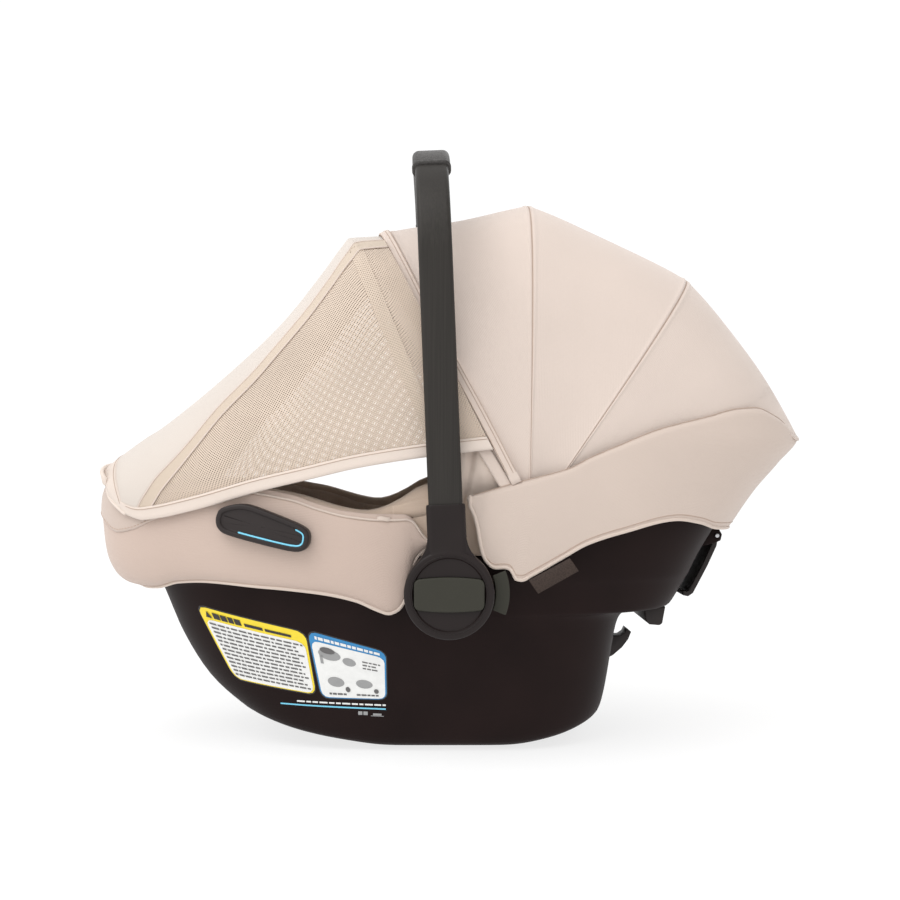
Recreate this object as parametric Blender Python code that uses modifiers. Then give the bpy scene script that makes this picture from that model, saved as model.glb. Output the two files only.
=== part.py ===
"""Infant car seat: rigid bucket carrier with a U-shaped carry handle, a folding canopy and a
pull-out mesh sunshade. Metres, +Z up. +X runs from the foot end to the head end, and the
origin is on the ground under the middle of the seat. The left side is -Y."""

import math

import bmesh
import bpy
import numpy as np
from mathutils import Matrix, Vector

# ---- driving dimensions ---------------------------------------------------------------------
HANDLE_AXIS_Z = 0.157       # height of the carry handle's pivot, which is at X = 0
HANDLE_LEAN = math.radians(-2.3)
HANDLE_REACH = 0.4070       # from the pivot to the middle of the cross bar
ARM_Y = 0.2040              # middle of each handle arm
ARM_WIDE, ARM_THICK = 0.0305, 0.0120
GRIP_WIDE, GRIP_THICK = 0.0350, 0.0165
CORNER_R = 0.105            # bend between an arm and the cross bar
GRIP_FROM = math.radians(53)  # angle round the bend where the wrapped grip begins

HUB_R = 0.0403
HUB_IN, HUB_OUT = 0.1870, 0.2125   # the hub's inner and outer faces, from the middle plane
AXLE_R = 0.0090
BUTTON_PRESS = 0.003        # travel of every push button

CANOPY_X, CANOPY_Z = 0.073, 0.218  # the canopy's pivot
ARCH_POWER = 4.0            # squareness of each bow's arch
BOW_WIDE, BOW_THICK = 0.008, 0.0030
FABRIC = 0.0030             # thickness of the canopy's cloth solids
# name: (angle above +X in degrees, radius at the middle, half width)
BOWS = {
    "sunshade": (121.6, 0.3240, 0.1850),
    "front": (115.0, 0.3120, 0.1815),
    "middle": (89.0, 0.3090, 0.1780),
    "rear": (55.5, 0.2860, 0.1745),
}

SHELL_WALL = 0.0035
COVER = 0.0040              # thickness of the outer cover
PAD = 0.0100                # thickness of the seat pad
GAP = 0.0004                # between touching pieces
LEFT, RIGHT = -1, 1
SIDES = (("left", LEFT), ("right", RIGHT))


# ---- scene and mesh helpers -----------------------------------------------------------------
def clear_scene():
    for obj in list(bpy.data.objects):
        bpy.data.objects.remove(obj)


def new_collection(name):
    made = bpy.data.collections.new(name)
    bpy.context.scene.collection.children.link(made)
    return made


clear_scene()
SEAT = new_collection("infant_car_seat")
CUTTERS = new_collection("cutters")


def make_material(name, colour, roughness, metallic=0.0):
    made = bpy.data.materials.new(name)
    made.use_nodes = True
    shader = made.node_tree.nodes["Principled BSDF"]
    shader.inputs["Base Color"].default_value = (*colour, 1.0)
    shader.inputs["Roughness"].default_value = roughness
    shader.inputs["Metallic"].default_value = metallic
    return made


SHELL_PLASTIC = make_material("shell_plastic", (0.030, 0.022, 0.020), 0.55)
HUB_PLASTIC = make_material("hub_plastic", (0.045, 0.034, 0.033), 0.45)
OLIVE_PLASTIC = make_material("olive_plastic", (0.085, 0.083, 0.070), 0.50)
ARM_METAL = make_material("arm_metal", (0.055, 0.054, 0.052), 0.40, 0.4)
GRIP_LEATHER = make_material("grip_leather", (0.050, 0.045, 0.042), 0.60)
CLOTH = make_material("cloth", (0.72, 0.60, 0.53), 0.90)
MESH_CLOTH = make_material("mesh_cloth", (0.60, 0.52, 0.44), 0.95)
FOAM = make_material("foam", (0.20, 0.20, 0.20), 0.95)
WEBBING = make_material("webbing", (0.08, 0.07, 0.07), 0.85)
BLACK_PLASTIC = make_material("black_plastic", (0.015, 0.013, 0.013), 0.40)
RED_PLASTIC = make_material("red_plastic", (0.60, 0.02, 0.02), 0.35)
STEEL = make_material("steel", (0.55, 0.55, 0.56), 0.30, 1.0)
BOW_PLASTIC = make_material("bow_plastic", (0.12, 0.11, 0.10), 0.50)
TAG_LEATHER = make_material("tag_leather", (0.10, 0.065, 0.050), 0.65)


def add_object(name, mesh, material, collection=SEAT):
    obj = bpy.data.objects.new(name, mesh)
    if material:
        mesh.materials.append(material)
    collection.objects.link(obj)
    if collection is CUTTERS:
        obj.hide_render = True
        obj.display_type = "WIRE"
    return obj


def grid_mesh(name, rows, closed=False, caps=()):
    """A mesh over rows of points. closed joins each row's ends, and caps names which rows, 0 or
    -1, are filled by strips between a row's mirrored halves."""
    mesh = bmesh.new()
    grid = [[mesh.verts.new(p) for p in row] for row in rows]
    count = len(rows[0])
    for low, high in zip(grid, grid[1:]):
        for i in range(count if closed else count - 1):
            j = (i + 1) % count
            mesh.faces.new((low[i], low[j], high[j], high[i]))
    for cap in caps:
        row = grid[cap]
        half = count // 2
        for i in range(half):
            strip = [row[i], row[i + 1], row[(count - i - 1) % count], row[(count - i) % count]]
            mesh.faces.new(dict.fromkeys(strip if cap == -1 else reversed(strip)))
    bmesh.ops.recalc_face_normals(mesh, faces=mesh.faces)
    data = bpy.data.meshes.new(name)
    mesh.to_mesh(data)
    mesh.free()
    return data


def solidify(obj, thickness, offset=-1.0):
    modifier = obj.modifiers.new("Solidify", "SOLIDIFY")
    modifier.thickness = thickness
    modifier.offset = offset
    modifier.use_even_offset = True
    return obj


def bevel(obj, width, segments=2, angle=35):
    modifier = obj.modifiers.new("Bevel", "BEVEL")
    modifier.width = width
    modifier.segments = segments
    modifier.limit_method = "ANGLE"
    modifier.angle_limit = math.radians(angle)
    return obj


def boolean(obj, cutter, operation="DIFFERENCE"):
    modifier = obj.modifiers.new("Boolean", "BOOLEAN")
    modifier.operation = operation
    modifier.solver = "EXACT"
    modifier.object = cutter
    return obj


def box(name, low, high, material, collection=SEAT):
    low, high = Vector(low), Vector(high)
    mesh = bmesh.new()
    bmesh.ops.create_cube(mesh, size=1.0)
    bmesh.ops.scale(mesh, vec=high - low, verts=mesh.verts)
    data = bpy.data.meshes.new(name)
    mesh.to_mesh(data)
    mesh.free()
    obj = add_object(name, data, material, collection)
    obj.location = (low + high) / 2
    return obj


def cylinder(name, radius, centre, y_from, y_to, material, collection=SEAT, segments=32,
             radius_out=None):
    """A cylinder or cone along Y. y_from and y_to are signed, and radius_out is at y_to."""
    mesh = bmesh.new()
    top = radius if radius_out is None else radius_out
    bmesh.ops.create_cone(mesh, cap_ends=True, segments=segments, radius1=radius,
                          radius2=top, depth=abs(y_to - y_from))
    turn = math.radians(-90 if y_to > y_from else 90)
    bmesh.ops.rotate(mesh, matrix=Matrix.Rotation(turn, 3, "X"), verts=mesh.verts)
    data = bpy.data.meshes.new(name)
    mesh.to_mesh(data)
    mesh.free()
    obj = add_object(name, data, material, collection)
    obj.location = (centre[0], (y_from + y_to) / 2, centre[1])
    return obj


def extruded(name, outline, y_from, y_to, material, collection=SEAT):
    """An outline of (x, z) points, extruded along Y."""
    mesh = bmesh.new()
    verts = [mesh.verts.new((x, y_from, z)) for x, z in outline]
    face = mesh.faces.new(verts)
    grown = bmesh.ops.extrude_face_region(mesh, geom=[face])["geom"]
    moved = [g for g in grown if isinstance(g, bmesh.types.BMVert)]
    bmesh.ops.translate(mesh, vec=(0, y_to - y_from, 0), verts=moved)
    bmesh.ops.recalc_face_normals(mesh, faces=mesh.faces)
    data = bpy.data.meshes.new(name)
    mesh.to_mesh(data)
    mesh.free()
    return add_object(name, data, material, collection)


def sweep(name, path, side, profile, material, collection=SEAT):
    """A bar along a path, in a plane whose normal is side. profile holds (along side, across)."""
    side = Vector(side).normalized()
    rows = []
    for i, point in enumerate(path):
        ahead = path[min(i + 1, len(path) - 1)] - path[max(i - 1, 0)]
        across = ahead.normalized().cross(side)
        rows.append([point + side * a + across * b for a, b in profile])
    mesh = bmesh.new()
    grid = [[mesh.verts.new(p) for p in row] for row in rows]
    count = len(profile)
    for low, high in zip(grid, grid[1:]):
        for i in range(count):
            j = (i + 1) % count
            mesh.faces.new((low[i], low[j], high[j], high[i]))
    mesh.faces.new(grid[0])
    mesh.faces.new(reversed(grid[-1]))
    bmesh.ops.recalc_face_normals(mesh, faces=mesh.faces)
    data = bpy.data.meshes.new(name)
    mesh.to_mesh(data)
    mesh.free()
    return add_object(name, data, material, collection)


def rounded_box_profile(wide, thick, radius, steps=3):
    points = []
    for corner in range(4):
        start = corner * math.pi / 2
        sx = 1 if corner in (0, 3) else -1
        sy = 1 if corner in (0, 1) else -1
        for step in range(steps + 1):
            angle = start + step / steps * math.pi / 2
            points.append((sx * (wide / 2 - radius) + radius * math.cos(angle),
                           sy * (thick / 2 - radius) + radius * math.sin(angle)))
    return points


def flat_profile(wide, thick):
    return [(wide / 2, thick / 2), (-wide / 2, thick / 2),
            (-wide / 2, -thick / 2), (wide / 2, -thick / 2)]


def smooth_through(points):
    """A function that passes smoothly through (x, value) points and never overshoots them."""
    xs, ys = (np.array(v, float) for v in zip(*points))
    slopes = np.diff(ys) / np.diff(xs)
    tangents = np.zeros(len(xs))
    tangents[0], tangents[-1] = slopes[0], slopes[-1]
    for i in range(1, len(xs) - 1):
        before, after = slopes[i - 1], slopes[i]
        if before * after > 0:
            tangents[i] = 2 * before * after / (before + after)

    def value(x):
        x = min(max(x, xs[0]), xs[-1])
        i = min(int(np.searchsorted(xs, x, side="right")) - 1, len(xs) - 2)
        step = xs[i + 1] - xs[i]
        t = (x - xs[i]) / step
        start, end = tangents[i] * step, tangents[i + 1] * step
        return float(
            ys[i] * (2 * t**3 - 3 * t**2 + 1) + start * (t**3 - 2 * t**2 + t)
            + ys[i + 1] * (3 * t**2 - 2 * t**3) + end * (t**3 - t**2)
        )

    return value


# ---- the plan outline that the shell and its covers share -------------------------------------
def plan_point(angle, front, rear, half, power):
    """A point of a rounded outline seen from above. Angle 0 is the head end."""
    c, s = math.cos(angle), math.sin(angle)
    reach = rear if c > 0 else -front
    x = reach * math.copysign(abs(c) ** (2 / power), c)
    return x, half * math.copysign(abs(s) ** (2 / power), s)


def plan_arc(start, end, count, front, rear, half, power, closed=False):
    """count points evenly spaced along the outline from the start angle to the end angle."""
    angles = np.linspace(start, end, 721)
    dense = np.array([plan_point(a, front, rear, half, power) for a in angles])
    steps = np.linalg.norm(np.diff(dense, axis=0), axis=1)
    length = np.concatenate([[0.0], np.cumsum(steps)])
    wanted = np.linspace(0, length[-1], count + 1 if closed else count)
    if closed:
        wanted = wanted[:-1]
    return [(float(np.interp(w, length, dense[:, 0])), float(np.interp(w, length, dense[:, 1])))
            for w in wanted]


def angle_at(x, front, rear, power):
    """The outline's angle, from 0 to pi, where it passes x."""
    reach = rear if x > 0 else -front
    share = min(1.0, abs(x) / reach) ** (power / 2)
    return math.acos(math.copysign(share, x))


rocker_z = smooth_through([(-0.210, 0.0330), (-0.140, 0.0125), (-0.095, 0.0045), (-0.055, 0.0),
                           (0.055, 0.0), (0.100, 0.0065), (0.148, 0.0215)])
rim_z = smooth_through([(-0.345, 0.2400), (-0.300, 0.2450), (-0.200, 0.2460), (-0.145, 0.2380),
                        (-0.070, 0.2195), (-0.020, 0.2300), (0.020, 0.2370), (0.110, 0.2600),
                        (0.210, 0.2970), (0.320, 0.2970)])
# (height or height function, front, rear, half width)
SHELL_LEVELS = [
    (rocker_z, -0.2010, 0.1480, 0.1200),
    (lambda x: rocker_z(x) + 0.006, -0.2119, 0.1553, 0.1280),
    (0.0600, -0.2404, 0.1614, 0.1390),
    (0.1050, -0.2661, 0.1677, 0.1480),
    (0.1205, -0.2723, 0.1718, 0.1510),
    (0.1270, -0.2749, 0.1771, 0.1525),
    (0.1305, -0.2764, 0.1878, 0.1535),
    (0.1320, -0.2769, 0.2210, 0.1540),
    (0.1345, -0.2779, 0.2247, 0.1545),
    (0.1550, -0.2861, 0.2364, 0.1590),
    (0.1610, -0.2900, 0.2395, 0.1610),
    (0.1650, -0.3180, 0.2425, 0.1630),
    (0.1750, -0.3265, 0.2464, 0.1650),
    (0.2110, -0.3310, 0.2666, 0.1680),
    (rim_z, -0.3320, 0.3310, 0.1700),
]
# The same for the foam inside it, kept clear of the shell's steps.
FOAM_LEVELS = [
    (lambda x: rocker_z(x) + 0.0085, -0.1930, 0.1400, 0.1120),
    (lambda x: rocker_z(x) + 0.0130, -0.2030, 0.1470, 0.1205),
    (0.0600, -0.2290, 0.1560, 0.1335),
    (0.1050, -0.2575, 0.1625, 0.1425),
    (0.1270, -0.2690, 0.1670, 0.1470),
    (0.1390, -0.2735, 0.1710, 0.1500),
    (0.1400, -0.2740, 0.2170, 0.1502),
    (0.1550, -0.2800, 0.2300, 0.1535),
    (0.1700, -0.2860, 0.2370, 0.1570),
    (0.1720, -0.3100, 0.2380, 0.1575),
    (0.1790, -0.3190, 0.2420, 0.1595),
    (0.2110, -0.3250, 0.2595, 0.1628),
    (lambda x: rim_z(x) - 0.005, -0.3265, 0.3200, 0.1648),
]
SHELL_POWER = 3.6


def bucket_rows(levels, outset=0.0, lift=0.0, count=34):
    """Rings of a bucket's surface, grown by outset, with the rim raised by lift."""
    rows = []
    for level, (height, front, rear, half) in enumerate(levels):
        ring = plan_arc(0, 2 * math.pi, count, front - outset, rear + outset, half + outset,
                        SHELL_POWER, closed=True)
        raised = lift if level == len(levels) - 1 else (-outset if level == 0 else 0.0)
        rows.append([(x, y, (height(x) if callable(height) else height) + raised)
                     for x, y in ring])
    return rows


def make_shell():
    """The moulded carrier shell, with holes for the release stems and the latch hook."""
    shell = add_object("shell", grid_mesh("shell", bucket_rows(SHELL_LEVELS), closed=True, caps=(0,)),
                       SHELL_PLASTIC)
    solidify(shell, SHELL_WALL)
    for name, side in SIDES:
        cutter = box(f"stem_hole_{name}", (0.0370, min(side * 0.140, side * 0.190), 0.1455),
                     (0.0540, max(side * 0.140, side * 0.190), 0.1655), None, CUTTERS)
        boolean(shell, cutter)
    boolean(shell, box("hook_slot", (0.120, -0.0150, 0.0450), (0.190, 0.0150, 0.1080), None,
                       CUTTERS))
    return shell


def shell_cutter():
    """The shell's outer solid, a little larger, for cutting what stands on it."""
    rows = bucket_rows(SHELL_LEVELS, outset=GAP, lift=0.02)
    return add_object("shell_cutter", grid_mesh("shell_cutter", rows, closed=True, caps=(0, -1)),
                      None, CUTTERS)


# ---- seat well: pad, foam and inserts ---------------------------------------------------------
seat_floor_z = smooth_through([(-0.306, 0.2350), (-0.240, 0.1900), (-0.160, 0.1370),
                               (-0.080, 0.1030), (0.000, 0.0880), (0.060, 0.1000),
                               (0.120, 0.1420), (0.180, 0.1920), (0.240, 0.2420),
                               (0.298, 0.2940)])
WELL_FRONT, WELL_REAR, WELL_HALF = -0.3110, 0.3020, 0.1495


def well_half_width(x):
    reach = WELL_REAR if x > 0 else -WELL_FRONT
    return WELL_HALF * (1 - min(0.995, abs(x) / reach) ** 3.4) ** (1 / 3.4)


def seat_point(x, v, lift=0.0):
    """A point of the pad's upper surface, v from -1 to 1 across, raised by lift along its normal."""
    def at(px, pv):
        floor = seat_floor_z(px)
        wall = max(rim_z(px) + 0.001 - floor, 0.0)
        return Vector((px, pv * well_half_width(px), floor + wall * abs(pv) ** 2.8))

    point = at(x, v)
    if lift == 0.0:
        return point
    d = 1e-3
    along = at(x + d, v) - at(x - d, v)
    across = at(x, v + d) - at(x, v - d)
    return point + along.cross(across).normalized() * lift


def seat_grid(xs, vs_at, lift):
    """Rows of points on a surface parallel to the pad's, at each x in xs. vs_at gives the values
    of v at an x."""
    return [[seat_point(x, v, lift) for v in vs_at(x)] for x in xs]


def slab(name, top, bottom, material, collection=SEAT):
    """A closed solid between two grids of points with the same rows and columns."""
    mesh = bmesh.new()
    layers = [[[mesh.verts.new(p) for p in row] for row in grid] for grid in (top, bottom)]
    rows, columns = len(top), len(top[0])
    for layer in layers:
        for i in range(rows - 1):
            for j in range(columns - 1):
                mesh.faces.new((layer[i][j], layer[i][j + 1], layer[i + 1][j + 1],
                                layer[i + 1][j]))
    border = [(0, j) for j in range(columns)] + [(i, columns - 1) for i in range(1, rows)]
    border += [(rows - 1, j) for j in range(columns - 2, -1, -1)]
    border += [(i, 0) for i in range(rows - 2, 0, -1)]
    for (a, b), (c, d) in zip(border, border[1:] + border[:1]):
        mesh.faces.new((layers[0][a][b], layers[0][c][d], layers[1][c][d], layers[1][a][b]))
    bmesh.ops.recalc_face_normals(mesh, faces=mesh.faces)
    data = bpy.data.meshes.new(name)
    mesh.to_mesh(data)
    mesh.free()
    return add_object(name, data, material, collection)


PAD_XS = list(np.linspace(-0.300, 0.290, 21))
PAD_VS = list(np.linspace(-1.0, 1.0, 15))


def make_seat_pad():
    top, bottom = (seat_grid(PAD_XS, lambda x: PAD_VS, lift) for lift in (0.0, -PAD))
    return slab("seat_pad", top, bottom, CLOTH)


def make_foam_liner():
    """Moulded foam between the shell and the pad. The seat well is cut out of it."""
    rows = bucket_rows(FOAM_LEVELS)
    liner = add_object("foam_liner", grid_mesh("foam_liner", rows, closed=True, caps=(0, -1)),
                       FOAM)
    xs = [PAD_XS[0] - 0.0085, *PAD_XS, PAD_XS[-1] + 0.0095]
    vs = [-1.03, *PAD_VS, 1.03]
    floor = seat_grid(xs, lambda x: vs, -(PAD + 0.0040))
    lid = [[(p[0], p[1], 0.42) for p in row] for row in floor]
    boolean(liner, slab("well_cutter", lid, floor, None, CUTTERS))
    boolean(liner, box("latch_pocket", (0.088, -0.032, 0.020), (0.180, 0.032, 0.1160), None,
                       CUTTERS))
    for name, side in SIDES:
        low_y, high_y = sorted((side * 0.120, side * 0.190))
        boolean(liner, box(f"stem_pocket_{name}", (0.0360, low_y, 0.1445),
                           (0.0550, high_y, 0.1665), None, CUTTERS))
    return liner


INSERT_THICK, HEAD_THICK = 0.0120, 0.0160
INSERT_GAP = 0.0022         # room for the curved pad under them


def make_insert(name, x_from, x_to, thickness, reach, columns):
    """A pad that lies on the seat pad, from x_from to x_to. reach gives its half width as v."""
    xs = list(np.linspace(x_from, x_to, columns + 1))
    def vs(x):
        return [reach(x) * v for v in np.linspace(-1, 1, 11)]
    top, bottom = (seat_grid(xs, vs, lift) for lift in (INSERT_GAP + thickness, INSERT_GAP))
    return slab(name, top, bottom, CLOTH)


def make_inserts():
    """The newborn's body insert and head support, which lie on the pad."""
    body_reach = smooth_through([(-0.110, 0.45), (-0.060, 0.74), (0.060, 0.80), (0.118, 0.76)])
    body = make_insert("body_insert", -0.105, 0.118, INSERT_THICK, body_reach, 9)
    head_reach = smooth_through([(0.148, 0.74), (0.200, 0.86), (0.250, 0.84), (0.272, 0.70)])
    head = make_insert("head_support", 0.148, 0.270, HEAD_THICK, head_reach, 6)
    return body, head


# ---- outer cover: the foot end and the head end -----------------------------------------------
foot_hem_z = smooth_through([(-0.310, 0.1470), (-0.275, 0.1500), (-0.253, 0.1575),
                             (-0.225, 0.1595), (-0.167, 0.1545), (-0.122, 0.1500),
                             (-0.085, 0.1430), (-0.057, 0.1345), (-0.048, 0.1360),
                             (-0.040, 0.1430), (-0.035, 0.1560), (-0.031, 0.1870)])
foot_top_z = smooth_through([(-0.345, 0.2470), (-0.300, 0.2520), (-0.200, 0.2530),
                             (-0.145, 0.2450), (-0.119, 0.2360), (-0.092, 0.2290),
                             (-0.067, 0.2265), (-0.035, 0.2260), (-0.028, 0.2100)])
# (share of the height, front, half width)
FOOT_ROWS = [(0.00, -0.2930, 0.1700), (0.00, -0.3045, 0.1712), (0.03, -0.3180, 0.1724),
             (0.10, -0.3285, 0.1738), (0.30, -0.3380, 0.1755), (0.55, -0.3415, 0.1765),
             (0.80, -0.3435, 0.1770), (0.93, -0.3430, 0.1764), (1.00, -0.3385, 0.1748)]
FOOT_FRONT, FOOT_HALF = -0.3435, 0.1770
skirt_hem_z = smooth_through([(0.024, 0.2320), (0.029, 0.2000), (0.0330, 0.1890),
                              (0.042, 0.1815), (0.050, 0.1795), (0.056, 0.1775),
                              (0.060, 0.1690), (0.066, 0.1680), (0.073, 0.1715), (0.100, 0.1870), (0.125, 0.2010),
                              (0.158, 0.2110), (0.210, 0.2215), (0.233, 0.2180),
                              (0.250, 0.2125), (0.280, 0.2095)])
skirt_top_z = smooth_through([(0.024, 0.2440), (0.062, 0.2550), (0.111, 0.2690),
                              (0.162, 0.2950), (0.211, 0.3150), (0.247, 0.3220),
                              (0.290, 0.3190), (0.320, 0.3060), (0.349, 0.3000)])
skirt_rear_x = smooth_through([(0.165, 0.2600), (0.208, 0.2780), (0.213, 0.2825),
                               (0.229, 0.2935), (0.247, 0.3065), (0.272, 0.3285),
                               (0.298, 0.3490), (0.325, 0.3490)])
COVER_POWER = 3.4
SKIRT_HALF, SKIRT_THICK = 0.1912, 0.0030


def make_foot_cover():
    """The boot: the cover over the foot end, from the hem up to the seat's rim."""
    rows = []
    for share, front, half in FOOT_ROWS:
        turn = angle_at(-0.0330, front, 0.33, COVER_POWER)
        arc = plan_arc(turn, 2 * math.pi - turn, 33, front, 0.33, half, COVER_POWER)
        rows.append([(x, y, foot_hem_z(x) + share * (foot_top_z(x) - foot_hem_z(x)))
                     for x, y in arc])
    cover = add_object("foot_cover", grid_mesh("foot_cover", rows), CLOTH)
    return solidify(cover, COVER)


def skirt_point(angle, share):
    """The skirt's outer surface: angle round the plan outline, share from hem to top seam."""
    x = plan_point(angle, -0.34, 0.330, SKIRT_HALF, COVER_POWER)[0]
    for _ in range(4):
        z = skirt_hem_z(x) + share * (skirt_top_z(x) - skirt_hem_z(x))
        x, y = plan_point(angle, -0.34, skirt_rear_x(z), SKIRT_HALF, COVER_POWER)
    return x, y, z


def make_head_skirt():
    """The cover round the head end, between the canopy's seam and its own hem."""
    stations, levels = 35, 5
    limit = angle_at(0.0250, -0.34, 0.330, COVER_POWER)
    rows = []
    for level in range(levels):
        share = level / (levels - 1)
        rows.append([skirt_point(limit * (2 * i / (stations - 1) - 1), share)
                     for i in range(stations)])
    skirt = add_object("head_skirt", grid_mesh("head_skirt", rows), CLOTH)
    return solidify(skirt, SKIRT_THICK)


# ---- canopy -----------------------------------------------------------------------------------
def arch_point(theta, radius, half, turn):
    """A point on an arch about the canopy pivot. turn runs from 0, one foot, to pi, the other."""
    power = 2 / ARCH_POWER
    out = radius * max(math.sin(turn), 0.0) ** power
    y = -half * math.copysign(abs(math.cos(turn)) ** power, math.cos(turn))
    return Vector((CANOPY_X + out * math.cos(theta), y, CANOPY_Z + out * math.sin(theta)))


def arch_path(theta, radius, half, foot=0.0, count=29):
    """An arch from one foot to the other, evenly spaced. foot is how far up from the pivot it
    starts."""
    low = math.asin(min(1.0, (foot / radius) ** (ARCH_POWER / 2))) if foot else 0.0
    turns = np.linspace(low, math.pi - low, 721)
    dense = [arch_point(theta, radius, half, t) for t in turns]
    length = np.concatenate([[0.0], np.cumsum([(b - a).length for a, b in zip(dense, dense[1:])])])
    coords = np.array(dense)
    wanted = np.linspace(0, length[-1], count)
    return [Vector([float(np.interp(w, length, coords[:, k])) for k in range(3)]) for w in wanted]


def make_bow(name):
    """A flat plastic bow, with an eye at each end that turns on the canopy's pivot pin."""
    degrees, radius, half = BOWS[name]
    theta = math.radians(degrees)
    path = arch_path(theta, radius - 0.0085, half, foot=0.0055, count=31)
    side = (math.sin(theta), 0, -math.cos(theta))
    bow = sweep(f"{name}_bow", path, side, flat_profile(BOW_WIDE, BOW_THICK), BOW_PLASTIC)
    for label, sign in SIDES:
        eye = cylinder(f"{name}_bow_eye_{label}", 0.0075, (CANOPY_X, CANOPY_Z),
                       sign * (half - 0.0015), sign * (half + 0.0013), None, CUTTERS, 14)
        boolean(bow, eye, "UNION")
    hole = cylinder(f"{name}_bow_hole", 0.0034, (CANOPY_X, CANOPY_Z), -0.2, 0.2, None, CUTTERS,
                    10)
    return boolean(bow, hole)


CANOPY_SAG = 0.010
SEAM_GAP = 0.0020           # between the canopy's cloth and the skirt under it


def cloth_foot(degrees):
    """How far from the canopy's pivot the skirt's top seam is, along a ray at an angle."""
    theta = math.radians(degrees)
    low, high = 0.02, 0.29
    for _ in range(40):
        middle = (low + high) / 2
        above = CANOPY_Z + middle * math.sin(theta) - SEAM_GAP
        if above < skirt_top_z(CANOPY_X + middle * math.cos(theta)):
            low = middle
        else:
            high = middle
    return high


def canopy_panel(name, start, end):
    """Cloth between two arches, given as (angle in degrees, radius, half width), sagging a little
    between them."""
    rows = []
    steps = 5
    for i in range(steps + 1):
        t = i / steps
        angle, radius, half = (a + (b - a) * t for a, b in zip(start, end))
        radius -= CANOPY_SAG * math.sin(math.pi * t)
        rows.append(arch_path(math.radians(angle), radius, half + 0.0060, foot=cloth_foot(angle)))
    panel = add_object(name, grid_mesh(name, rows), CLOTH)
    return solidify(panel, FABRIC)


def make_canopy():
    for name in BOWS:
        make_bow(name)
    tail = (19.5, 0.2840, 0.1760)
    gap = 0.25
    pairs = (("canopy_front_panel", BOWS["front"], BOWS["middle"]),
             ("canopy_middle_panel", BOWS["middle"], BOWS["rear"]),
             ("canopy_rear_panel", BOWS["rear"], tail))
    for name, start, end in pairs:
        first = (start[0] - gap, *start[1:])
        last = (end[0] + gap, *end[1:])
        canopy_panel(name, first, last)


shade_crown_z = smooth_through([(-0.349, 0.2560), (-0.3455, 0.2610), (-0.333, 0.2740),
                                (-0.313, 0.2900), (-0.2785, 0.3140), (-0.235, 0.3490),
                                (-0.184, 0.3920), (-0.147, 0.4310), (-0.121, 0.4640),
                                (-0.1045, 0.4860), (-0.0968, 0.4940), (-0.066, 0.4955)])
shade_hem_z = smooth_through([(-0.349, 0.2500), (-0.335, 0.2470), (-0.320, 0.2380),
                              (-0.300, 0.2290), (-0.285, 0.2240), (-0.266, 0.2255),
                              (-0.219, 0.2350), (-0.173, 0.2475), (-0.127, 0.2585),
                              (-0.080, 0.2695), (-0.020, 0.2790), (0.041, 0.2860)])
shade_half = smooth_through([(-0.190, 0.1828), (-0.110, 0.1860), (-0.030, 0.1905)])
SHADE_FRONT = -0.3490
# (x at the side hem, x at the crown, squareness of the arch)
SHADE_STATIONS = [(0.0395, -0.0670, 4.0), (0.0310, -0.0968, 4.0), (-0.0100, -0.1060, 3.8),
                  (-0.0500, -0.1210, 3.5), (-0.1000, -0.1550, 3.2), (-0.1600, -0.2080, 2.9),
                  (-0.2200, -0.2660, 2.7), (-0.2800, -0.3130, 2.6), (-0.3120, -0.3330, 2.6),
                  (-0.3300, -0.3430, 2.6)]
SHADE_HEM_STATIONS = [(-0.3328, -0.3448, 2.6), (-0.3400, -0.3472, 2.6), (-0.3460, -0.3490, 2.6)]


def shade_row(hem_x, crown_x, power, count=23):
    """A row of the sunshade's surface, from the left hem over the crown to the right hem."""
    hem = Vector((hem_x, 0, shade_hem_z(hem_x)))
    crown = Vector((crown_x, 0, shade_crown_z(crown_x)))
    row = []
    for i in range(count):
        turn = math.pi * i / (count - 1)
        point = hem.lerp(crown, max(math.sin(turn), 0.0) ** (2 / power))
        along = min(0.9995, abs(min(hem_x, 0.0)) / -SHADE_FRONT)
        half = shade_half(hem_x) * (1 - along ** COVER_POWER) ** (1 / COVER_POWER)
        point.y = -half * math.copysign(abs(math.cos(turn)) ** (2 / power), math.cos(turn))
        row.append(point)
    return row


def make_sunshade():
    """The pull-out sunshade, from the canopy's front edge to the foot end, and its front hem."""
    for name, stations in (("sunshade", SHADE_STATIONS), ("sunshade_hem", SHADE_HEM_STATIONS)):
        rows = [shade_row(*station) for station in stations]
        solidify(add_object(name, grid_mesh(name, rows), MESH_CLOTH), FABRIC)


def make_canopy_pins():
    """Pins on the shell that the canopy's bows turn on, one each side."""
    for name, side in SIDES:
        pin = cylinder(f"canopy_pin_{name}", 0.0030, (CANOPY_X, CANOPY_Z), side * 0.1692,
                       side * 0.1872, STEEL, segments=16)
        base = cylinder(f"canopy_pin_base_{name}", 0.0100, (CANOPY_X, CANOPY_Z), side * 0.1692,
                        side * 0.1716, None, CUTTERS, segments=20)
        boolean(pin, base, "UNION")


# ---- carry handle -----------------------------------------------------------------------------
def in_handle(point):
    """A point of the upright handle, turned to the handle's lean about its pivot."""
    return Matrix.Rotation(HANDLE_LEAN, 3, "Y") @ Vector(point) + Vector((0, 0, HANDLE_AXIS_Z))


def handle_path(angle_from, angle_to, side, steps=10):
    """The bend's centre line on one side, between two angles round it."""
    rise = HANDLE_REACH - CORNER_R
    return [in_handle((0, side * (ARM_Y - CORNER_R * (1 - math.cos(a))),
                       rise + CORNER_R * math.sin(a)))
            for a in np.linspace(angle_from, angle_to, steps)]


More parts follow.
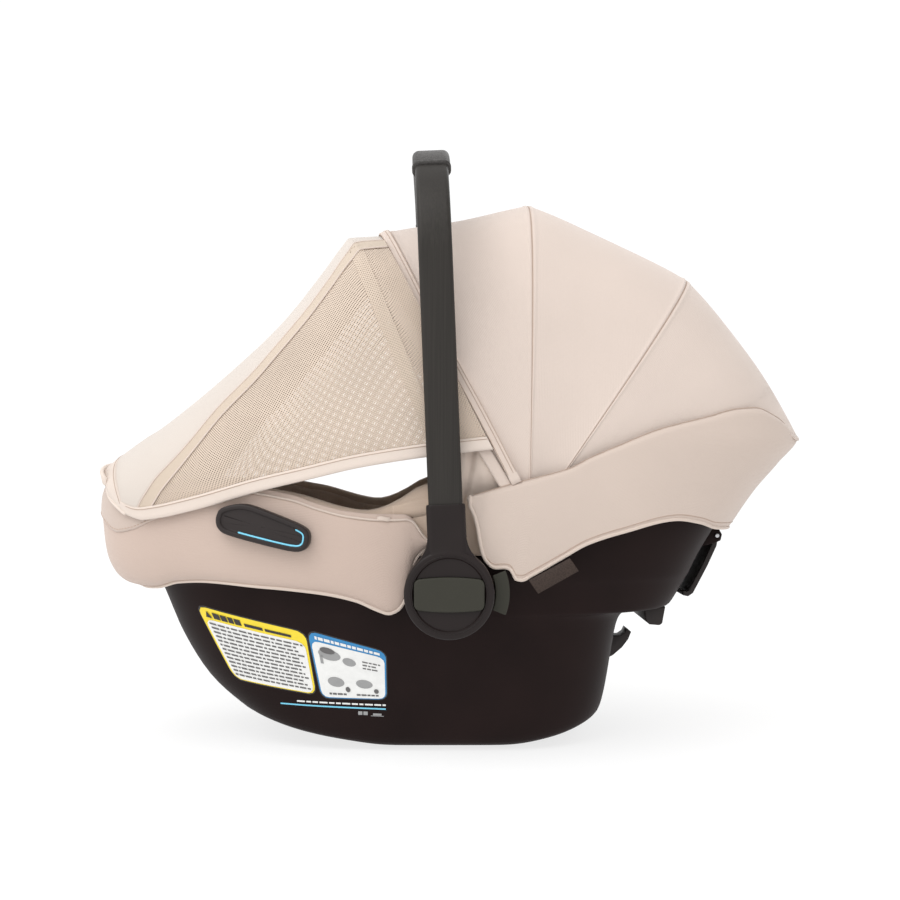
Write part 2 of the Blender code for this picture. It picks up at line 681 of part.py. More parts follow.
def make_handle_arms():
    side_vector = in_handle((1, 0, 0)) - in_handle((0, 0, 0))
    for name, side in SIDES:
        foot = in_handle((0, side * ARM_Y, 0.046))
        bend = handle_path(0, GRIP_FROM - 0.010, side, 9)
        sweep(f"handle_arm_{name}", [foot, *bend], side_vector,
              rounded_box_profile(ARM_WIDE, ARM_THICK, 0.004), ARM_METAL)


def make_handle_grip():
    side_vector = in_handle((1, 0, 0)) - in_handle((0, 0, 0))
    path = handle_path(GRIP_FROM, math.pi / 2, LEFT, 8)
    path += reversed(handle_path(GRIP_FROM, math.pi / 2, RIGHT, 8))
    return sweep("handle_grip", path, side_vector,
                 rounded_box_profile(GRIP_WIDE, GRIP_THICK, 0.0065), GRIP_LEATHER)


def barrel_outline(half_wide, half_high, bulge, corner, steps=3):
    """A rounded rectangle whose long sides bulge, as (x, z) points about the origin."""
    points = []
    for quarter in range(4):
        sx = 1 if quarter in (0, 3) else -1
        sz = 1 if quarter in (0, 1) else -1
        for step in range(steps + 1):
            angle = (quarter + step / steps) * math.pi / 2
            points.append((sx * (half_wide - corner) + corner * math.cos(angle),
                           sz * (half_high - corner) + corner * math.sin(angle)))
        if quarter in (0, 2):
            points.append((0.0, sz * (half_high + bulge)))
    return points


BUTTON_SHAPE = (0.0312, 0.0130, 0.0014, 0.0055)


def make_hub(name, side):
    """One of the handle's pivot hubs: a disc with a sleeve for the arm and a well for the button."""
    centre = (0.0, HANDLE_AXIS_Z)
    hub = cylinder(f"hub_{name}", HUB_R, centre, side * HUB_IN, side * HUB_OUT, HUB_PLASTIC,
                   segments=36)
    sleeve_path = [in_handle((0, side * ARM_Y, z)) for z in (0.010, 0.034, 0.044, 0.0795)]
    side_vector = in_handle((1, 0, 0)) - in_handle((0, 0, 0))
    sleeve = sweep(f"sleeve_{name}", sleeve_path, side_vector,
                   rounded_box_profile(0.0350, 0.0165, 0.005), None, CUTTERS)
    boolean(hub, sleeve, "UNION")
    arm_hole = sweep(f"arm_hole_{name}",
                     [in_handle((0, side * ARM_Y, z)) for z in (0.0455, 0.100)], side_vector,
                     rounded_box_profile(ARM_WIDE + 2 * GAP, ARM_THICK + 2 * GAP, 0.004), None,
                     CUTTERS)
    boolean(hub, arm_hole)
    dish = cylinder(f"hub_dish_{name}", 0.0325, centre, side * (HUB_OUT - 0.0020),
                    side * (HUB_OUT + 0.01), None, CUTTERS, 32)
    boolean(hub, dish)
    cavity = cylinder(f"hub_cavity_{name}", 0.0300, centre, side * (HUB_IN + 0.0028),
                      side * (HUB_IN + 0.0170), None, CUTTERS, 24)
    boolean(hub, cavity)
    well = [(x * 1.015, z * 1.035 + HANDLE_AXIS_Z) for x, z in barrel_outline(*BUTTON_SHAPE)]
    boolean(hub, extruded(f"button_well_{name}", well, side * (HUB_IN + 0.010),
                          side * (HUB_OUT + 0.01), None, CUTTERS))
    boolean(hub, cylinder(f"axle_hole_{name}", AXLE_R + 0.0003, centre, side * 0.17,
                          side * (HUB_IN + 0.008), None, CUTTERS, 24))
    return hub


def make_handle_button(name, side):
    """The press pad on a hub, with the plate behind it that frees the lock."""
    outline = [(x, z + HANDLE_AXIS_Z) for x, z in barrel_outline(*BUTTON_SHAPE)]
    button = extruded(f"handle_button_{name}", outline, side * (HUB_IN + 0.0140),
                      side * (HUB_OUT + 0.0015), OLIVE_PLASTIC)
    plate = cylinder(f"button_plate_{name}", 0.0275, (0.0, HANDLE_AXIS_Z),
                     side * (HUB_IN + 0.0120), side * (HUB_IN + 0.0145), None, CUTTERS, 28)
    boolean(button, plate, "UNION")
    return button


def make_pivot(name, side, cutter):
    """What the hub turns on: a boss on the shell, an axle with a toothed lock, a wave spring."""
    centre = (0.0, HANDLE_AXIS_Z)
    boss = cylinder(f"pivot_boss_{name}", 0.0300, centre, side * 0.1450, side * 0.1862,
                    SHELL_PLASTIC, segments=32)
    boolean(boss, cutter)
    boolean(boss, cylinder(f"boss_hole_{name}", AXLE_R + 0.0003, centre, side * 0.14,
                           side * 0.19, None, CUTTERS, 24))
    axle = cylinder(f"pivot_axle_{name}", AXLE_R, centre, side * 0.1740, side * (HUB_IN + 0.0040),
                    STEEL, segments=24)
    teeth = []
    for i in range(32):
        radius = 0.0165 if i % 4 in (1, 2) else 0.0140
        angle = i / 32 * 2 * math.pi
        teeth.append((radius * math.cos(angle), HANDLE_AXIS_Z + radius * math.sin(angle)))
    lock = extruded(f"lock_teeth_{name}", teeth, side * (HUB_IN + 0.0032),
                    side * (HUB_IN + 0.0058), None, CUTTERS)
    boolean(axle, lock, "UNION")
    spring = cylinder(f"button_spring_{name}", 0.0110, centre, side * (HUB_IN + 0.0062),
                      side * (HUB_IN + 0.0116), STEEL, segments=20)
    boolean(spring, cylinder(f"spring_bore_{name}", 0.0085, centre, side * HUB_IN,
                             side * HUB_OUT, None, CUTTERS, 20))


def make_release_button(name, side):
    """The button beside the hub that frees the carrier from a pushchair."""
    inner, outer, spread, steps = 0.0418, 0.0545, math.radians(21.5), 8
    turns = [spread * (2 * i / steps - 1) for i in range(steps + 1)]
    outline = [(outer * math.cos(a), HANDLE_AXIS_Z + outer * math.sin(a)) for a in turns]
    outline += [(inner * math.cos(a), HANDLE_AXIS_Z + inner * math.sin(a))
                for a in reversed(turns)]
    button = extruded(f"release_button_{name}", outline, side * 0.1920, side * 0.1952,
                      OLIVE_PLASTIC)
    low, high = sorted((side * 0.1580, side * 0.1930))
    stem = box(f"release_stem_{name}", (0.0430, low, 0.1490), (0.0520, high, 0.1620), None,
               CUTTERS)
    return boolean(button, stem, "UNION")


# ---- belt guides, rear latch, tag --------------------------------------------------------------
GUIDE_AT_X, GUIDE_AT_Z = -0.167, 0.2150
GUIDE_OUTLINE = [(-0.0440, 0.0080), (-0.0400, 0.0180), (-0.0180, 0.0225), (0.0080, 0.0130),
                 (0.0380, 0.0010), (0.0430, -0.0060), (0.0415, -0.0170), (0.0345, -0.0225),
                 (0.0200, -0.0210), (-0.0360, -0.0070), (-0.0430, 0.0000)]


def make_belt_guide(name, side):
    """The guide that a vehicle's lap belt passes under, on each side of the foot end."""
    turn = angle_at(GUIDE_AT_X, FOOT_FRONT, 0.33, COVER_POWER)
    x, y = plan_point(turn, FOOT_FRONT, 0.33, FOOT_HALF, COVER_POWER)
    ahead = plan_point(turn - 0.02, FOOT_FRONT, 0.33, FOOT_HALF, COVER_POWER)
    yaw = math.atan2(ahead[1] - y, ahead[0] - x)
    guide = extruded(f"belt_guide_{name}", GUIDE_OUTLINE, side * 0.0014, side * 0.0130,
                     BLACK_PLASTIC)
    guide.location = (x, side * y, GUIDE_AT_Z)
    guide.rotation_euler = (0, 0, side * yaw)
    bevel(guide, 0.0025, 2)
    return guide


LEVER_HALF, LEVER_THICK = 0.055, 0.0045
LEVER_PIVOT = (0.2682, 0.2000)
HOOK_PIVOT = (0.1300, 0.0700)


def make_release_lever():
    """The squeeze lever at the head end that opens the latch hook, on its pin."""
    path = [Vector((x, 0, z)) for x, z in
            ((0.2690, 0.2000), (0.2672, 0.1900), (0.2580, 0.1700), (0.2480, 0.1510),
             (0.2440, 0.1435), (0.2405, 0.1410), (0.2365, 0.1420))]
    lever = sweep("release_lever", path, (0, 1, 0), flat_profile(2 * LEVER_HALF, LEVER_THICK),
                  BLACK_PLASTIC)
    knuckle = cylinder("lever_knuckle", 0.0045, LEVER_PIVOT, -LEVER_HALF, LEVER_HALF, None,
                       CUTTERS, 20)
    boolean(lever, knuckle, "UNION")
    boolean(lever, cylinder("lever_bore", 0.0023, LEVER_PIVOT, -0.07, 0.07, None, CUTTERS, 16))
    cylinder("lever_pin", 0.0020, LEVER_PIVOT, -0.064, 0.064, STEEL, segments=16)
    return lever


def make_lever_brackets(cutter):
    for name, side in SIDES:
        near, far = side * (LEVER_HALF + 0.0008), side * (LEVER_HALF + 0.0065)
        outline = [(0.2480, 0.2075), (0.2705, 0.2065), (0.2735, 0.2010), (0.2720, 0.1950),
                   (0.2660, 0.1925), (0.2480, 0.1880)]
        bracket = extruded(f"lever_bracket_{name}", outline, near, far, SHELL_PLASTIC)
        boolean(bracket, cutter)
        boolean(bracket, cylinder(f"bracket_hole_{name}", 0.0022, LEVER_PIVOT, -0.08, 0.08, None,
                                  CUTTERS, 16))


def make_latch_hook():
    """The hook that holds the carrier to a base's bar."""
    outline = [(0.1240, 0.0640), (0.1340, 0.0630), (0.1560, 0.0660), (0.1717, 0.0735),
               (0.1810, 0.0815), (0.1875, 0.0900), (0.1905, 0.0975), (0.1858, 0.1012),
               (0.1835, 0.0965), (0.1790, 0.0935), (0.1700, 0.0930), (0.1500, 0.0860),
               (0.1340, 0.0780), (0.1240, 0.0770)]
    hook = extruded("latch_hook", outline, -0.0120, 0.0120, BLACK_PLASTIC)
    boolean(hook, cylinder("hook_bore", 0.0033, HOOK_PIVOT, -0.02, 0.02, None, CUTTERS, 16))
    cylinder("hook_pin", 0.0030, HOOK_PIVOT, -0.0290, 0.0290, STEEL, segments=16)
    return hook


def make_rear_foot():
    """The block under the overhang that the base's rear seat takes."""
    outline = [(0.1930, 0.1303), (0.2140, 0.1312), (0.2110, 0.1150), (0.2085, 0.1130),
               (0.1985, 0.1138), (0.1950, 0.1165)]
    return extruded("rear_foot", outline, -0.0800, 0.0800, BLACK_PLASTIC)


def make_tag():
    """A small sewn tag at the left hem of the head end's cover."""
    outline = [(0.0715, 0.1680), (0.1085, 0.1880), (0.1165, 0.1765), (0.0800, 0.1560)]
    return extruded("side_tag", outline, -0.1930, -0.1917, TAG_LEATHER)


# ---- harness ------------------------------------------------------------------------------------
WEB_WIDE, WEB_THICK = 0.0220, 0.0016
SLOT_X = 0.1340             # where the shoulder straps come out of the pad
TONGUE_Z = 0.1225
SHOULDER_TOP = Vector((0.1215, 0.0340, 0.1700))
SHOULDER_END = Vector((0.0185, 0.0160, 0.1275))


def over_insert(x, y, lift):
    """A point above the body insert at (x, y)."""
    return seat_point(x, y / well_half_width(x), INSERT_THICK + INSERT_GAP + lift)


def mirrored(points, side):
    return [Vector((p[0], side * p[1], p[2])) for p in points]


def webbing(name, path, sideways=(0, 1, 0)):
    return sweep(name, path, sideways, flat_profile(WEB_WIDE, WEB_THICK), WEBBING)


def shoulder_point(share):
    return SHOULDER_TOP.lerp(SHOULDER_END, share)


def make_shoulder_strap(name, side, pad):
    """One shoulder strap, from its slot in the pad down to the tongue, with a padded cover."""
    v = 0.0340 / well_half_width(SLOT_X)
    low, high = (seat_point(SLOT_X, v, lift) for lift in (-0.0085, 0.0120))
    bend = high.lerp(SHOULDER_TOP, 0.55) + Vector((0.0012, 0, 0.0010))
    path = [low, high, bend, SHOULDER_TOP, SHOULDER_END, Vector((0.0140, 0.0155, 0.1252)),
            Vector((0.0128, 0.0155, 0.1226))]
    webbing(f"shoulder_strap_{name}", mirrored(path, side))
    cover_path = mirrored([shoulder_point(s) for s in (0.05, 0.25, 0.42)], side)
    cover = sweep(f"harness_pad_{name}", cover_path, (0, 1, 0),
                  rounded_box_profile(0.0360, 0.0120, 0.0050), CLOTH)
    channel = sweep(f"pad_channel_{name}", mirrored([shoulder_point(s) for s in (-0.1, 0.6)], side),
                    (0, 1, 0), flat_profile(WEB_WIDE + 0.0012, WEB_THICK + 0.0012), None, CUTTERS)
    boolean(cover, channel)
    slot = sweep(f"shoulder_slot_{name}", mirrored([low.lerp(high, t) for t in (-0.8, 0.9)], side),
                 (0, 1, 0), flat_profile(WEB_WIDE + 0.004, WEB_THICK + 0.003), None, CUTTERS)
    boolean(pad, slot)


def make_chest_clip():
    """The clip that holds the shoulder straps together and slides along them."""
    path = [shoulder_point(s) for s in (0.50, 0.73)]
    middle = [Vector((p[0], 0, p[2])) for p in path]
    clip = sweep("chest_clip", middle, (0, 1, 0), rounded_box_profile(0.0960, 0.0084, 0.0035),
                 BLACK_PLASTIC)
    ahead = (middle[1] - middle[0]).normalized() * 0.01
    for name, side in SIDES:
        shifted = [p + Vector((0, side * 0.0230, 0)) for p in
                   (middle[0] - ahead, middle[1] + ahead)]
        channel = sweep(f"clip_channel_{name}", shifted, (0, 1, 0), flat_profile(0.0330, 0.0030),
                        None, CUTTERS)
        boolean(clip, channel)
    return clip


def make_buckle():
    """The crotch buckle with its red push button and the two tongues held in it."""
    low, high = (-0.0500, -0.0290, 0.1125), (-0.0040, 0.0290, 0.1325)
    buckle = box("buckle", low, high, BLACK_PLASTIC)
    bevel(buckle, 0.0030, 2)
    mouth = box("buckle_mouth", (-0.0250, -0.0270, TONGUE_Z - 0.0014),
                (0.0100, 0.0270, TONGUE_Z + 0.0014), None, CUTTERS)
    boolean(buckle, mouth)
    well = box("button_pocket", (-0.0400, -0.0110, 0.1268), (-0.0160, 0.0110, 0.1400), None,
               CUTTERS)
    boolean(buckle, well)
    button = box("buckle_button", (-0.0396, -0.0106, 0.1302), (-0.0164, 0.0106, 0.1336),
                 RED_PLASTIC)
    bevel(button, 0.0008, 1)
    for name, side in SIDES:
        near, far = sorted((side * 0.0016, side * 0.0266))
        tongue = box(f"tongue_{name}", (-0.0230, near, TONGUE_Z - 0.0008),
                     (0.0215, far, TONGUE_Z + 0.0008), STEEL)
        inner, outer = sorted((side * 0.0036, side * 0.0272))
        boolean(tongue, box(f"tongue_slot_{name}", (0.0105, inner, 0.11), (0.0155, outer, 0.13),
                            None, CUTTERS))
    return buckle


def make_crotch_strap(pad, insert):
    x = -0.0665
    path = [Vector(p) for p in ((-0.0504, 0, TONGUE_Z), (-0.0590, 0, 0.1222),
                                (-0.0640, 0, 0.1196), (-0.0662, 0, 0.1150), (x, 0, 0.1080),
                                (x, 0, 0.0925))]
    webbing("crotch_strap", path)
    slot = box("crotch_slot", (x - 0.0022, -WEB_WIDE / 2 - 0.0015, 0.0700),
               (x + 0.0022, WEB_WIDE / 2 + 0.0015, 0.1300), None, CUTTERS)
    boolean(pad, slot)
    boolean(insert, slot)


def make_hip_strap(name, side, insert):
    """A hip strap, from under its tongue to a slot in the side of the insert."""
    x = 0.0130
    path = [Vector((x, 0.0060, 0.1195)), Vector((x, 0.0290, 0.1190))]
    for y, lift in ((0.0500, 0.0085), (0.0720, 0.0055), (0.0900, 0.0045)):
        path.append(over_insert(x, y, lift))
    over = over_insert(x, 0.1010, 0.0035)
    path += [over, over + Vector((0, 0.0035, -0.0045)), over + Vector((0, 0.0040, -0.0110))]
    webbing(f"hip_strap_{name}", mirrored(path, side), (1, 0, 0))
    near, far = sorted((side * (over.y + 0.0005), side * (over.y + 0.0068)))
    slot = box(f"hip_slot_{name}", (x - WEB_WIDE / 2 - 0.0015, near, over.z - 0.0135),
               (x + WEB_WIDE / 2 + 0.0015, far, over.z + 0.0300), None, CUTTERS)
    boolean(insert, slot)


def seat_frame(x, lift):
    """A frame on the pad's middle line: X along it to the head end, Z away from it."""
    ahead = (seat_point(x + 0.01, 0) - seat_point(x - 0.01, 0)).normalized()
    up = ahead.cross(Vector((0, 1, 0)))
    frame = Matrix((ahead, (0, 1, 0), up)).transposed().to_4x4()
    frame.translation = seat_point(x, 0, lift)
    return frame


def in_frame(frame, obj):
    """Moves an object that was made about the world's origin into a frame."""
    spot = frame @ obj.location
    obj.rotation_euler = frame.to_euler()
    obj.location = spot
    return obj


ADJUSTER_X = -0.1350
ADJUSTER_HINGE = Vector((0.0115, 0, 0.0070))


def make_adjuster():
    """The harness adjuster at the foot end: housing, hinged lever, and the strap to pull."""
    frame = seat_frame(ADJUSTER_X, 0.0014)
    housing = in_frame(frame, box("adjuster_housing", (-0.0190, -0.0210, 0), (0.0190, 0.0210, 0.0090),
                                  BLACK_PLASTIC))
    bevel(housing, 0.0020, 2)
    pocket = in_frame(frame, box("lever_pocket", (-0.0300, -0.0150, 0.0046),
                                 (0.0145, 0.0150, 0.0200), None, CUTTERS))
    boolean(housing, pocket)
    mouth = in_frame(frame, box("strap_mouth", (-0.0300, -0.0125, 0.0012), (0.0080, 0.0125, 0.0036),
                                None, CUTTERS))
    boolean(housing, mouth)
    lever = in_frame(frame, box("adjuster_lever", (-0.0230, -0.0145, 0.0054),
                                (0.0135, 0.0145, 0.0086), OLIVE_PLASTIC))
    bevel(lever, 0.0008, 1)
    start = [frame @ Vector((x, 0, 0.0024)) for x in (0.0060, -0.0200)]
    tail = [seat_point(x, 0, 0.0030) for x in (-0.1750, -0.2000, -0.2250, -0.2450)]
    webbing("adjuster_strap", start + tail)


def make_harness(pad, insert):
    for name, side in SIDES:
        make_shoulder_strap(name, side, pad)
        make_hip_strap(name, side, insert)
    make_chest_clip()
    make_buckle()
    make_crotch_strap(pad, insert)
    make_adjuster()


# ---- joint axes ---------------------------------------------------------------------------------
def hang_on(name, spot, pieces):
    """Parents moving pieces to an empty on their joint's axis, leaving them where they are."""
    axis = bpy.data.objects.new(name, None)
    axis.empty_display_size = 0.02
    axis.location = spot
    SEAT.objects.link(axis)
    for piece in pieces:
        obj = bpy.data.objects[piece]
        obj.parent = axis
        obj.matrix_parent_inverse = Matrix.Translation(-Vector(spot))


def add_joint_axes():
    handle = [f"{piece}_{name}" for piece in ("handle_arm", "hub") for name, _ in SIDES]
    hang_on("handle_axis", (0, 0, HANDLE_AXIS_Z), [*handle, "handle_grip"])
    for name, side in SIDES:
        hang_on(f"handle_button_axis_{name}", (0, side * HUB_OUT, HANDLE_AXIS_Z),
                [f"handle_button_{name}"])
        hang_on(f"release_button_axis_{name}", (0.0480, side * 0.1950, HANDLE_AXIS_Z),
                [f"release_button_{name}"])
    cloth = {"rear": "canopy_rear_panel", "middle": "canopy_middle_panel",
             "front": "canopy_front_panel", "sunshade": "sunshade"}
    for bow, panel in cloth.items():
        hang_on(f"{bow}_bow_axis", (CANOPY_X, 0, CANOPY_Z), [f"{bow}_bow", panel])
    hang_on("sunshade_hem_axis", (-0.3490, 0, 0.2530), ["sunshade_hem"])
    hang_on("release_lever_axis", (LEVER_PIVOT[0], 0, LEVER_PIVOT[1]), ["release_lever"])
    hang_on("latch_hook_axis", (HOOK_PIVOT[0], 0, HOOK_PIVOT[1]), ["latch_hook"])
    hang_on("chest_clip_axis", shoulder_point(0.61) * Vector((1, 0, 1)), ["chest_clip"])
    hang_on("buckle_button_axis", (-0.0280, 0, 0.1336), ["buckle_button"])
    hang_on("adjuster_lever_axis", seat_frame(ADJUSTER_X, 0.0014) @ ADJUSTER_HINGE,
            ["adjuster_lever"])


# ---- assembly -----------------------------------------------------------------------------------
def build_carrier():
    cutter = shell_cutter()
    make_shell()
    make_foam_liner()
    pad = make_seat_pad()
    insert, _ = make_inserts()
    make_foot_cover()
    make_head_skirt()
    make_rear_foot()
    make_release_lever()
    make_lever_brackets(cutter)
    make_latch_hook()
    make_tag()
    make_harness(pad, insert)
    for name, side in SIDES:
        make_belt_guide(name, side)
        make_pivot(name, side, cutter)
        make_release_button(name, side)


def build_handle():
    make_handle_arms()
    make_handle_grip()
    for name, side in SIDES:
        make_hub(name, side)
        make_handle_button(name, side)


build_carrier()
build_handle()
make_canopy_pins()
make_canopy()
make_sunshade()
add_joint_axes()
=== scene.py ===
"""Looks for the infant car seat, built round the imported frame. Metres, +Z up. +X runs from the
foot end to the head end, and -Y is the left side, which faces the camera."""

import math
from contextlib import contextmanager

import bmesh
import bpy
import numpy as np
from mathutils import Matrix, Vector, noise
from mathutils.bvhtree import BVHTree


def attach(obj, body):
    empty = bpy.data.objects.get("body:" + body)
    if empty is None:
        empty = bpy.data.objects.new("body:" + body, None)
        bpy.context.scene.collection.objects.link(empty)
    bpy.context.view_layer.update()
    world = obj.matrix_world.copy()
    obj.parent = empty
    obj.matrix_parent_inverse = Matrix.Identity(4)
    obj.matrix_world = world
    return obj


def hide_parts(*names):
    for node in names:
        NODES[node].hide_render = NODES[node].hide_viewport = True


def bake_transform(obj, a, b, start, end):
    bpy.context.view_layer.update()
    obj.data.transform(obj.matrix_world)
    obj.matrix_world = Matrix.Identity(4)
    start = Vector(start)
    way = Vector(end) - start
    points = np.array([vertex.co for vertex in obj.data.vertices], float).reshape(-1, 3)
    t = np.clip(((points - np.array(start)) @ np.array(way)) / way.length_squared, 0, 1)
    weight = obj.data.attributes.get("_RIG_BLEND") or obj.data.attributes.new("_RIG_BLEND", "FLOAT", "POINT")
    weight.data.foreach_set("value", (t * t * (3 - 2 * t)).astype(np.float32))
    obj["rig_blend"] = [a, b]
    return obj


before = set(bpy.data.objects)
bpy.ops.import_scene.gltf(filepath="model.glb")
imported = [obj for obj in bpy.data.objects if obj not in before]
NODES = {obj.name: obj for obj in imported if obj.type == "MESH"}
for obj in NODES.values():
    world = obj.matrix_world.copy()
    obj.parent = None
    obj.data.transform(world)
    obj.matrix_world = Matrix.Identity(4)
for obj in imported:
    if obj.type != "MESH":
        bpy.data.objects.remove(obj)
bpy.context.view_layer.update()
SIDES = (("left", -1), ("right", 1))
MIDDLE = Vector((0.0, 0.0, 0.25))   # a point inside the seat, which cloth faces away from


# ---- dimensions shared with the CAD -------------------------------------------------------------
HANDLE_AXIS_Z, HANDLE_LEAN, HANDLE_REACH = 0.157, math.radians(-2.3), 0.4070
ARM_Y, CORNER_R, GRIP_FROM = 0.2040, 0.105, math.radians(53)
HUB_R, HUB_IN, HUB_OUT = 0.0403, 0.1870, 0.2125
CANOPY_X, CANOPY_Z, ARCH_POWER = 0.073, 0.218, 4.0
# name: (angle above +X in degrees, radius at the middle, half width)
BOWS = {
    "front": (115.0, 0.3120, 0.1815),
    "middle": (89.0, 0.3090, 0.1780),
    "rear": (55.5, 0.2860, 0.1745),
    "tail": (19.5, 0.2840, 0.1760),
    "sunshade": (121.6, 0.3240, 0.1850),
}
SHELL_POWER, COVER_POWER = 3.6, 3.4
COVER_FRONT, COVER_REAR = -0.34, 0.33   # the ends of the covers' outline seen from above


def smooth_through(points):
    """A function that passes smoothly through (x, value) points and never overshoots them."""
    xs, ys = (np.array(v, float) for v in zip(*points))
    slopes = np.diff(ys) / np.diff(xs)
    tangents = np.zeros(len(xs))
    tangents[0], tangents[-1] = slopes[0], slopes[-1]
    for i in range(1, len(xs) - 1):
        before, after = slopes[i - 1], slopes[i]
        if before * after > 0:
            tangents[i] = 2 * before * after / (before + after)

    def value(x):
        x = min(max(x, xs[0]), xs[-1])
        i = min(int(np.searchsorted(xs, x, side="right")) - 1, len(xs) - 2)
        step = xs[i + 1] - xs[i]
        t = (x - xs[i]) / step
        start, end = tangents[i] * step, tangents[i + 1] * step
        return float(
            ys[i] * (2 * t**3 - 3 * t**2 + 1) + start * (t**3 - 2 * t**2 + t)
            + ys[i + 1] * (3 * t**2 - 2 * t**3) + end * (t**3 - t**2)
        )

    return value


def columns_through(rows):
    """One smooth function for each column of rows, of the row's number."""
    return [smooth_through(list(enumerate(column))) for column in zip(*rows)]


def smooth_step(low, high, x):
    t = min(max((x - low) / (high - low), 0.0), 1.0)
    return t * t * (3 - 2 * t)


def plan_point(angle, front, rear, half, power):
    """A point of a rounded outline seen from above. Angle 0 is the head end."""
    c, s = math.cos(angle), math.sin(angle)
    reach = rear if c > 0 else -front
    x = reach * math.copysign(abs(c) ** (2 / power), c)
    return x, half * math.copysign(abs(s) ** (2 / power), s)


def plan_arc(start, end, count, front, rear, half, power, closed=False):
    """count points evenly spaced along the outline from the start angle to the end angle."""
    dense = [(*plan_point(a, front, rear, half, power), 0.0) for a in np.linspace(start, end, 721)]
    points = even(dense, count + 1 if closed else count)[:, :2]
    return points[:-1] if closed else points


def even_angles(start, end, count, half):
    """Angles from start to end that are evenly spaced along a cover's outline."""
    across = math.pi / 2 - np.geomspace(1e-7, math.pi / 2, 400)
    dense = np.unique(np.concatenate([across, -across, np.linspace(start, end, 400)]))
    dense = dense[(dense >= start) & (dense <= end)]
    spots = np.array([plan_point(a, COVER_FRONT, COVER_REAR, half, COVER_POWER) for a in dense])
    length = np.concatenate([[0.0], np.cumsum(np.linalg.norm(np.diff(spots, axis=0), axis=1))])
    return np.interp(np.linspace(0, length[-1], count), length, dense)


def angle_at(x, front, rear, power):
    """The outline's angle, from 0 to pi, where it passes x."""
    reach = rear if x > 0 else -front
    share = min(1.0, abs(x) / reach) ** (power / 2)
    return math.acos(math.copysign(share, x))


def even(points, count):
    """count points evenly spaced along a line of points."""
    points = np.array([tuple(p) for p in points], float)
    steps = np.linalg.norm(np.diff(points, axis=0), axis=1)
    length = np.concatenate([[0.0], np.cumsum(steps)])
    wanted = np.linspace(0, length[-1], count)
    return np.stack([np.interp(wanted, length, points[:, k]) for k in range(3)], axis=1)


rocker_z = smooth_through([(-0.210, 0.0330), (-0.140, 0.0125), (-0.095, 0.0045), (-0.055, 0.0),
                           (0.055, 0.0), (0.100, 0.0065), (0.148, 0.0215)])
rim_z = smooth_through([(-0.345, 0.2400), (-0.300, 0.2450), (-0.200, 0.2460), (-0.145, 0.2380),
                        (-0.070, 0.2195), (-0.020, 0.2300), (0.020, 0.2370), (0.110, 0.2600),
                        (0.210, 0.2970), (0.320, 0.2970)])
# (height or height function, front, rear, half width)
SHELL_LEVELS = [
    (rocker_z, -0.2010, 0.1480, 0.1200),
    (lambda x: rocker_z(x) + 0.006, -0.2119, 0.1553, 0.1280),
    (0.0600, -0.2404, 0.1614, 0.1390),
    (0.1050, -0.2661, 0.1677, 0.1480),
    (0.1205, -0.2723, 0.1718, 0.1510),
    (0.1270, -0.2749, 0.1771, 0.1525),
    (0.1305, -0.2764, 0.1878, 0.1535),
    (0.1320, -0.2769, 0.2210, 0.1540),
    (0.1345, -0.2779, 0.2247, 0.1545),
    (0.1550, -0.2861, 0.2364, 0.1590),
    (0.1610, -0.2900, 0.2395, 0.1610),
    (0.1650, -0.3180, 0.2425, 0.1630),
    (0.1750, -0.3265, 0.2464, 0.1650),
    (0.2110, -0.3310, 0.2666, 0.1680),
    (rim_z, -0.3320, 0.3310, 0.1700),
]
seat_floor_z = smooth_through([(-0.306, 0.2350), (-0.240, 0.1900), (-0.160, 0.1370),
                               (-0.080, 0.1030), (0.000, 0.0880), (0.060, 0.1000),
                               (0.120, 0.1420), (0.180, 0.1920), (0.240, 0.2420),
                               (0.298, 0.2940)])
WELL_FRONT, WELL_REAR, WELL_HALF = -0.3110, 0.3020, 0.1495


def well_half_width(x):
    reach = WELL_REAR if x > 0 else -WELL_FRONT
    return WELL_HALF * (1 - min(0.995, abs(x) / reach) ** 3.4) ** (1 / 3.4)


def seat_point(x, v, lift=0.0):
    """A point of the pad's upper surface, v from -1 to 1 across, raised by lift along its normal."""
    def at(px, pv):
        floor = seat_floor_z(px)
        wall = max(rim_z(px) + 0.001 - floor, 0.0)
        return Vector((px, pv * well_half_width(px), floor + wall * abs(pv) ** 2.8))

    point = at(x, v)
    if lift == 0.0:
        return point
    d = 1e-3
    along = at(x + d, v) - at(x - d, v)
    across = at(x, v + d) - at(x, v - d)
    return point + along.cross(across).normalized() * lift


foot_hem_z = smooth_through([(-0.310, 0.1540), (-0.275, 0.1565), (-0.253, 0.1620),
                             (-0.225, 0.1638), (-0.167, 0.1600), (-0.122, 0.1550),
                             (-0.085, 0.1475), (-0.064, 0.1390), (-0.055, 0.1365),
                             (-0.047, 0.1395), (-0.040, 0.1500), (-0.036, 0.1660),
                             (-0.031, 0.1850), (-0.019, 0.1970), (-0.012, 0.2010)])
foot_top_z = smooth_through([(-0.345, 0.2470), (-0.300, 0.2520), (-0.200, 0.2530),
                             (-0.145, 0.2450), (-0.119, 0.2360), (-0.092, 0.2290),
                             (-0.067, 0.2265), (-0.040, 0.2262), (-0.034, 0.2230),
                             (-0.019, 0.2035), (-0.012, 0.2025)])
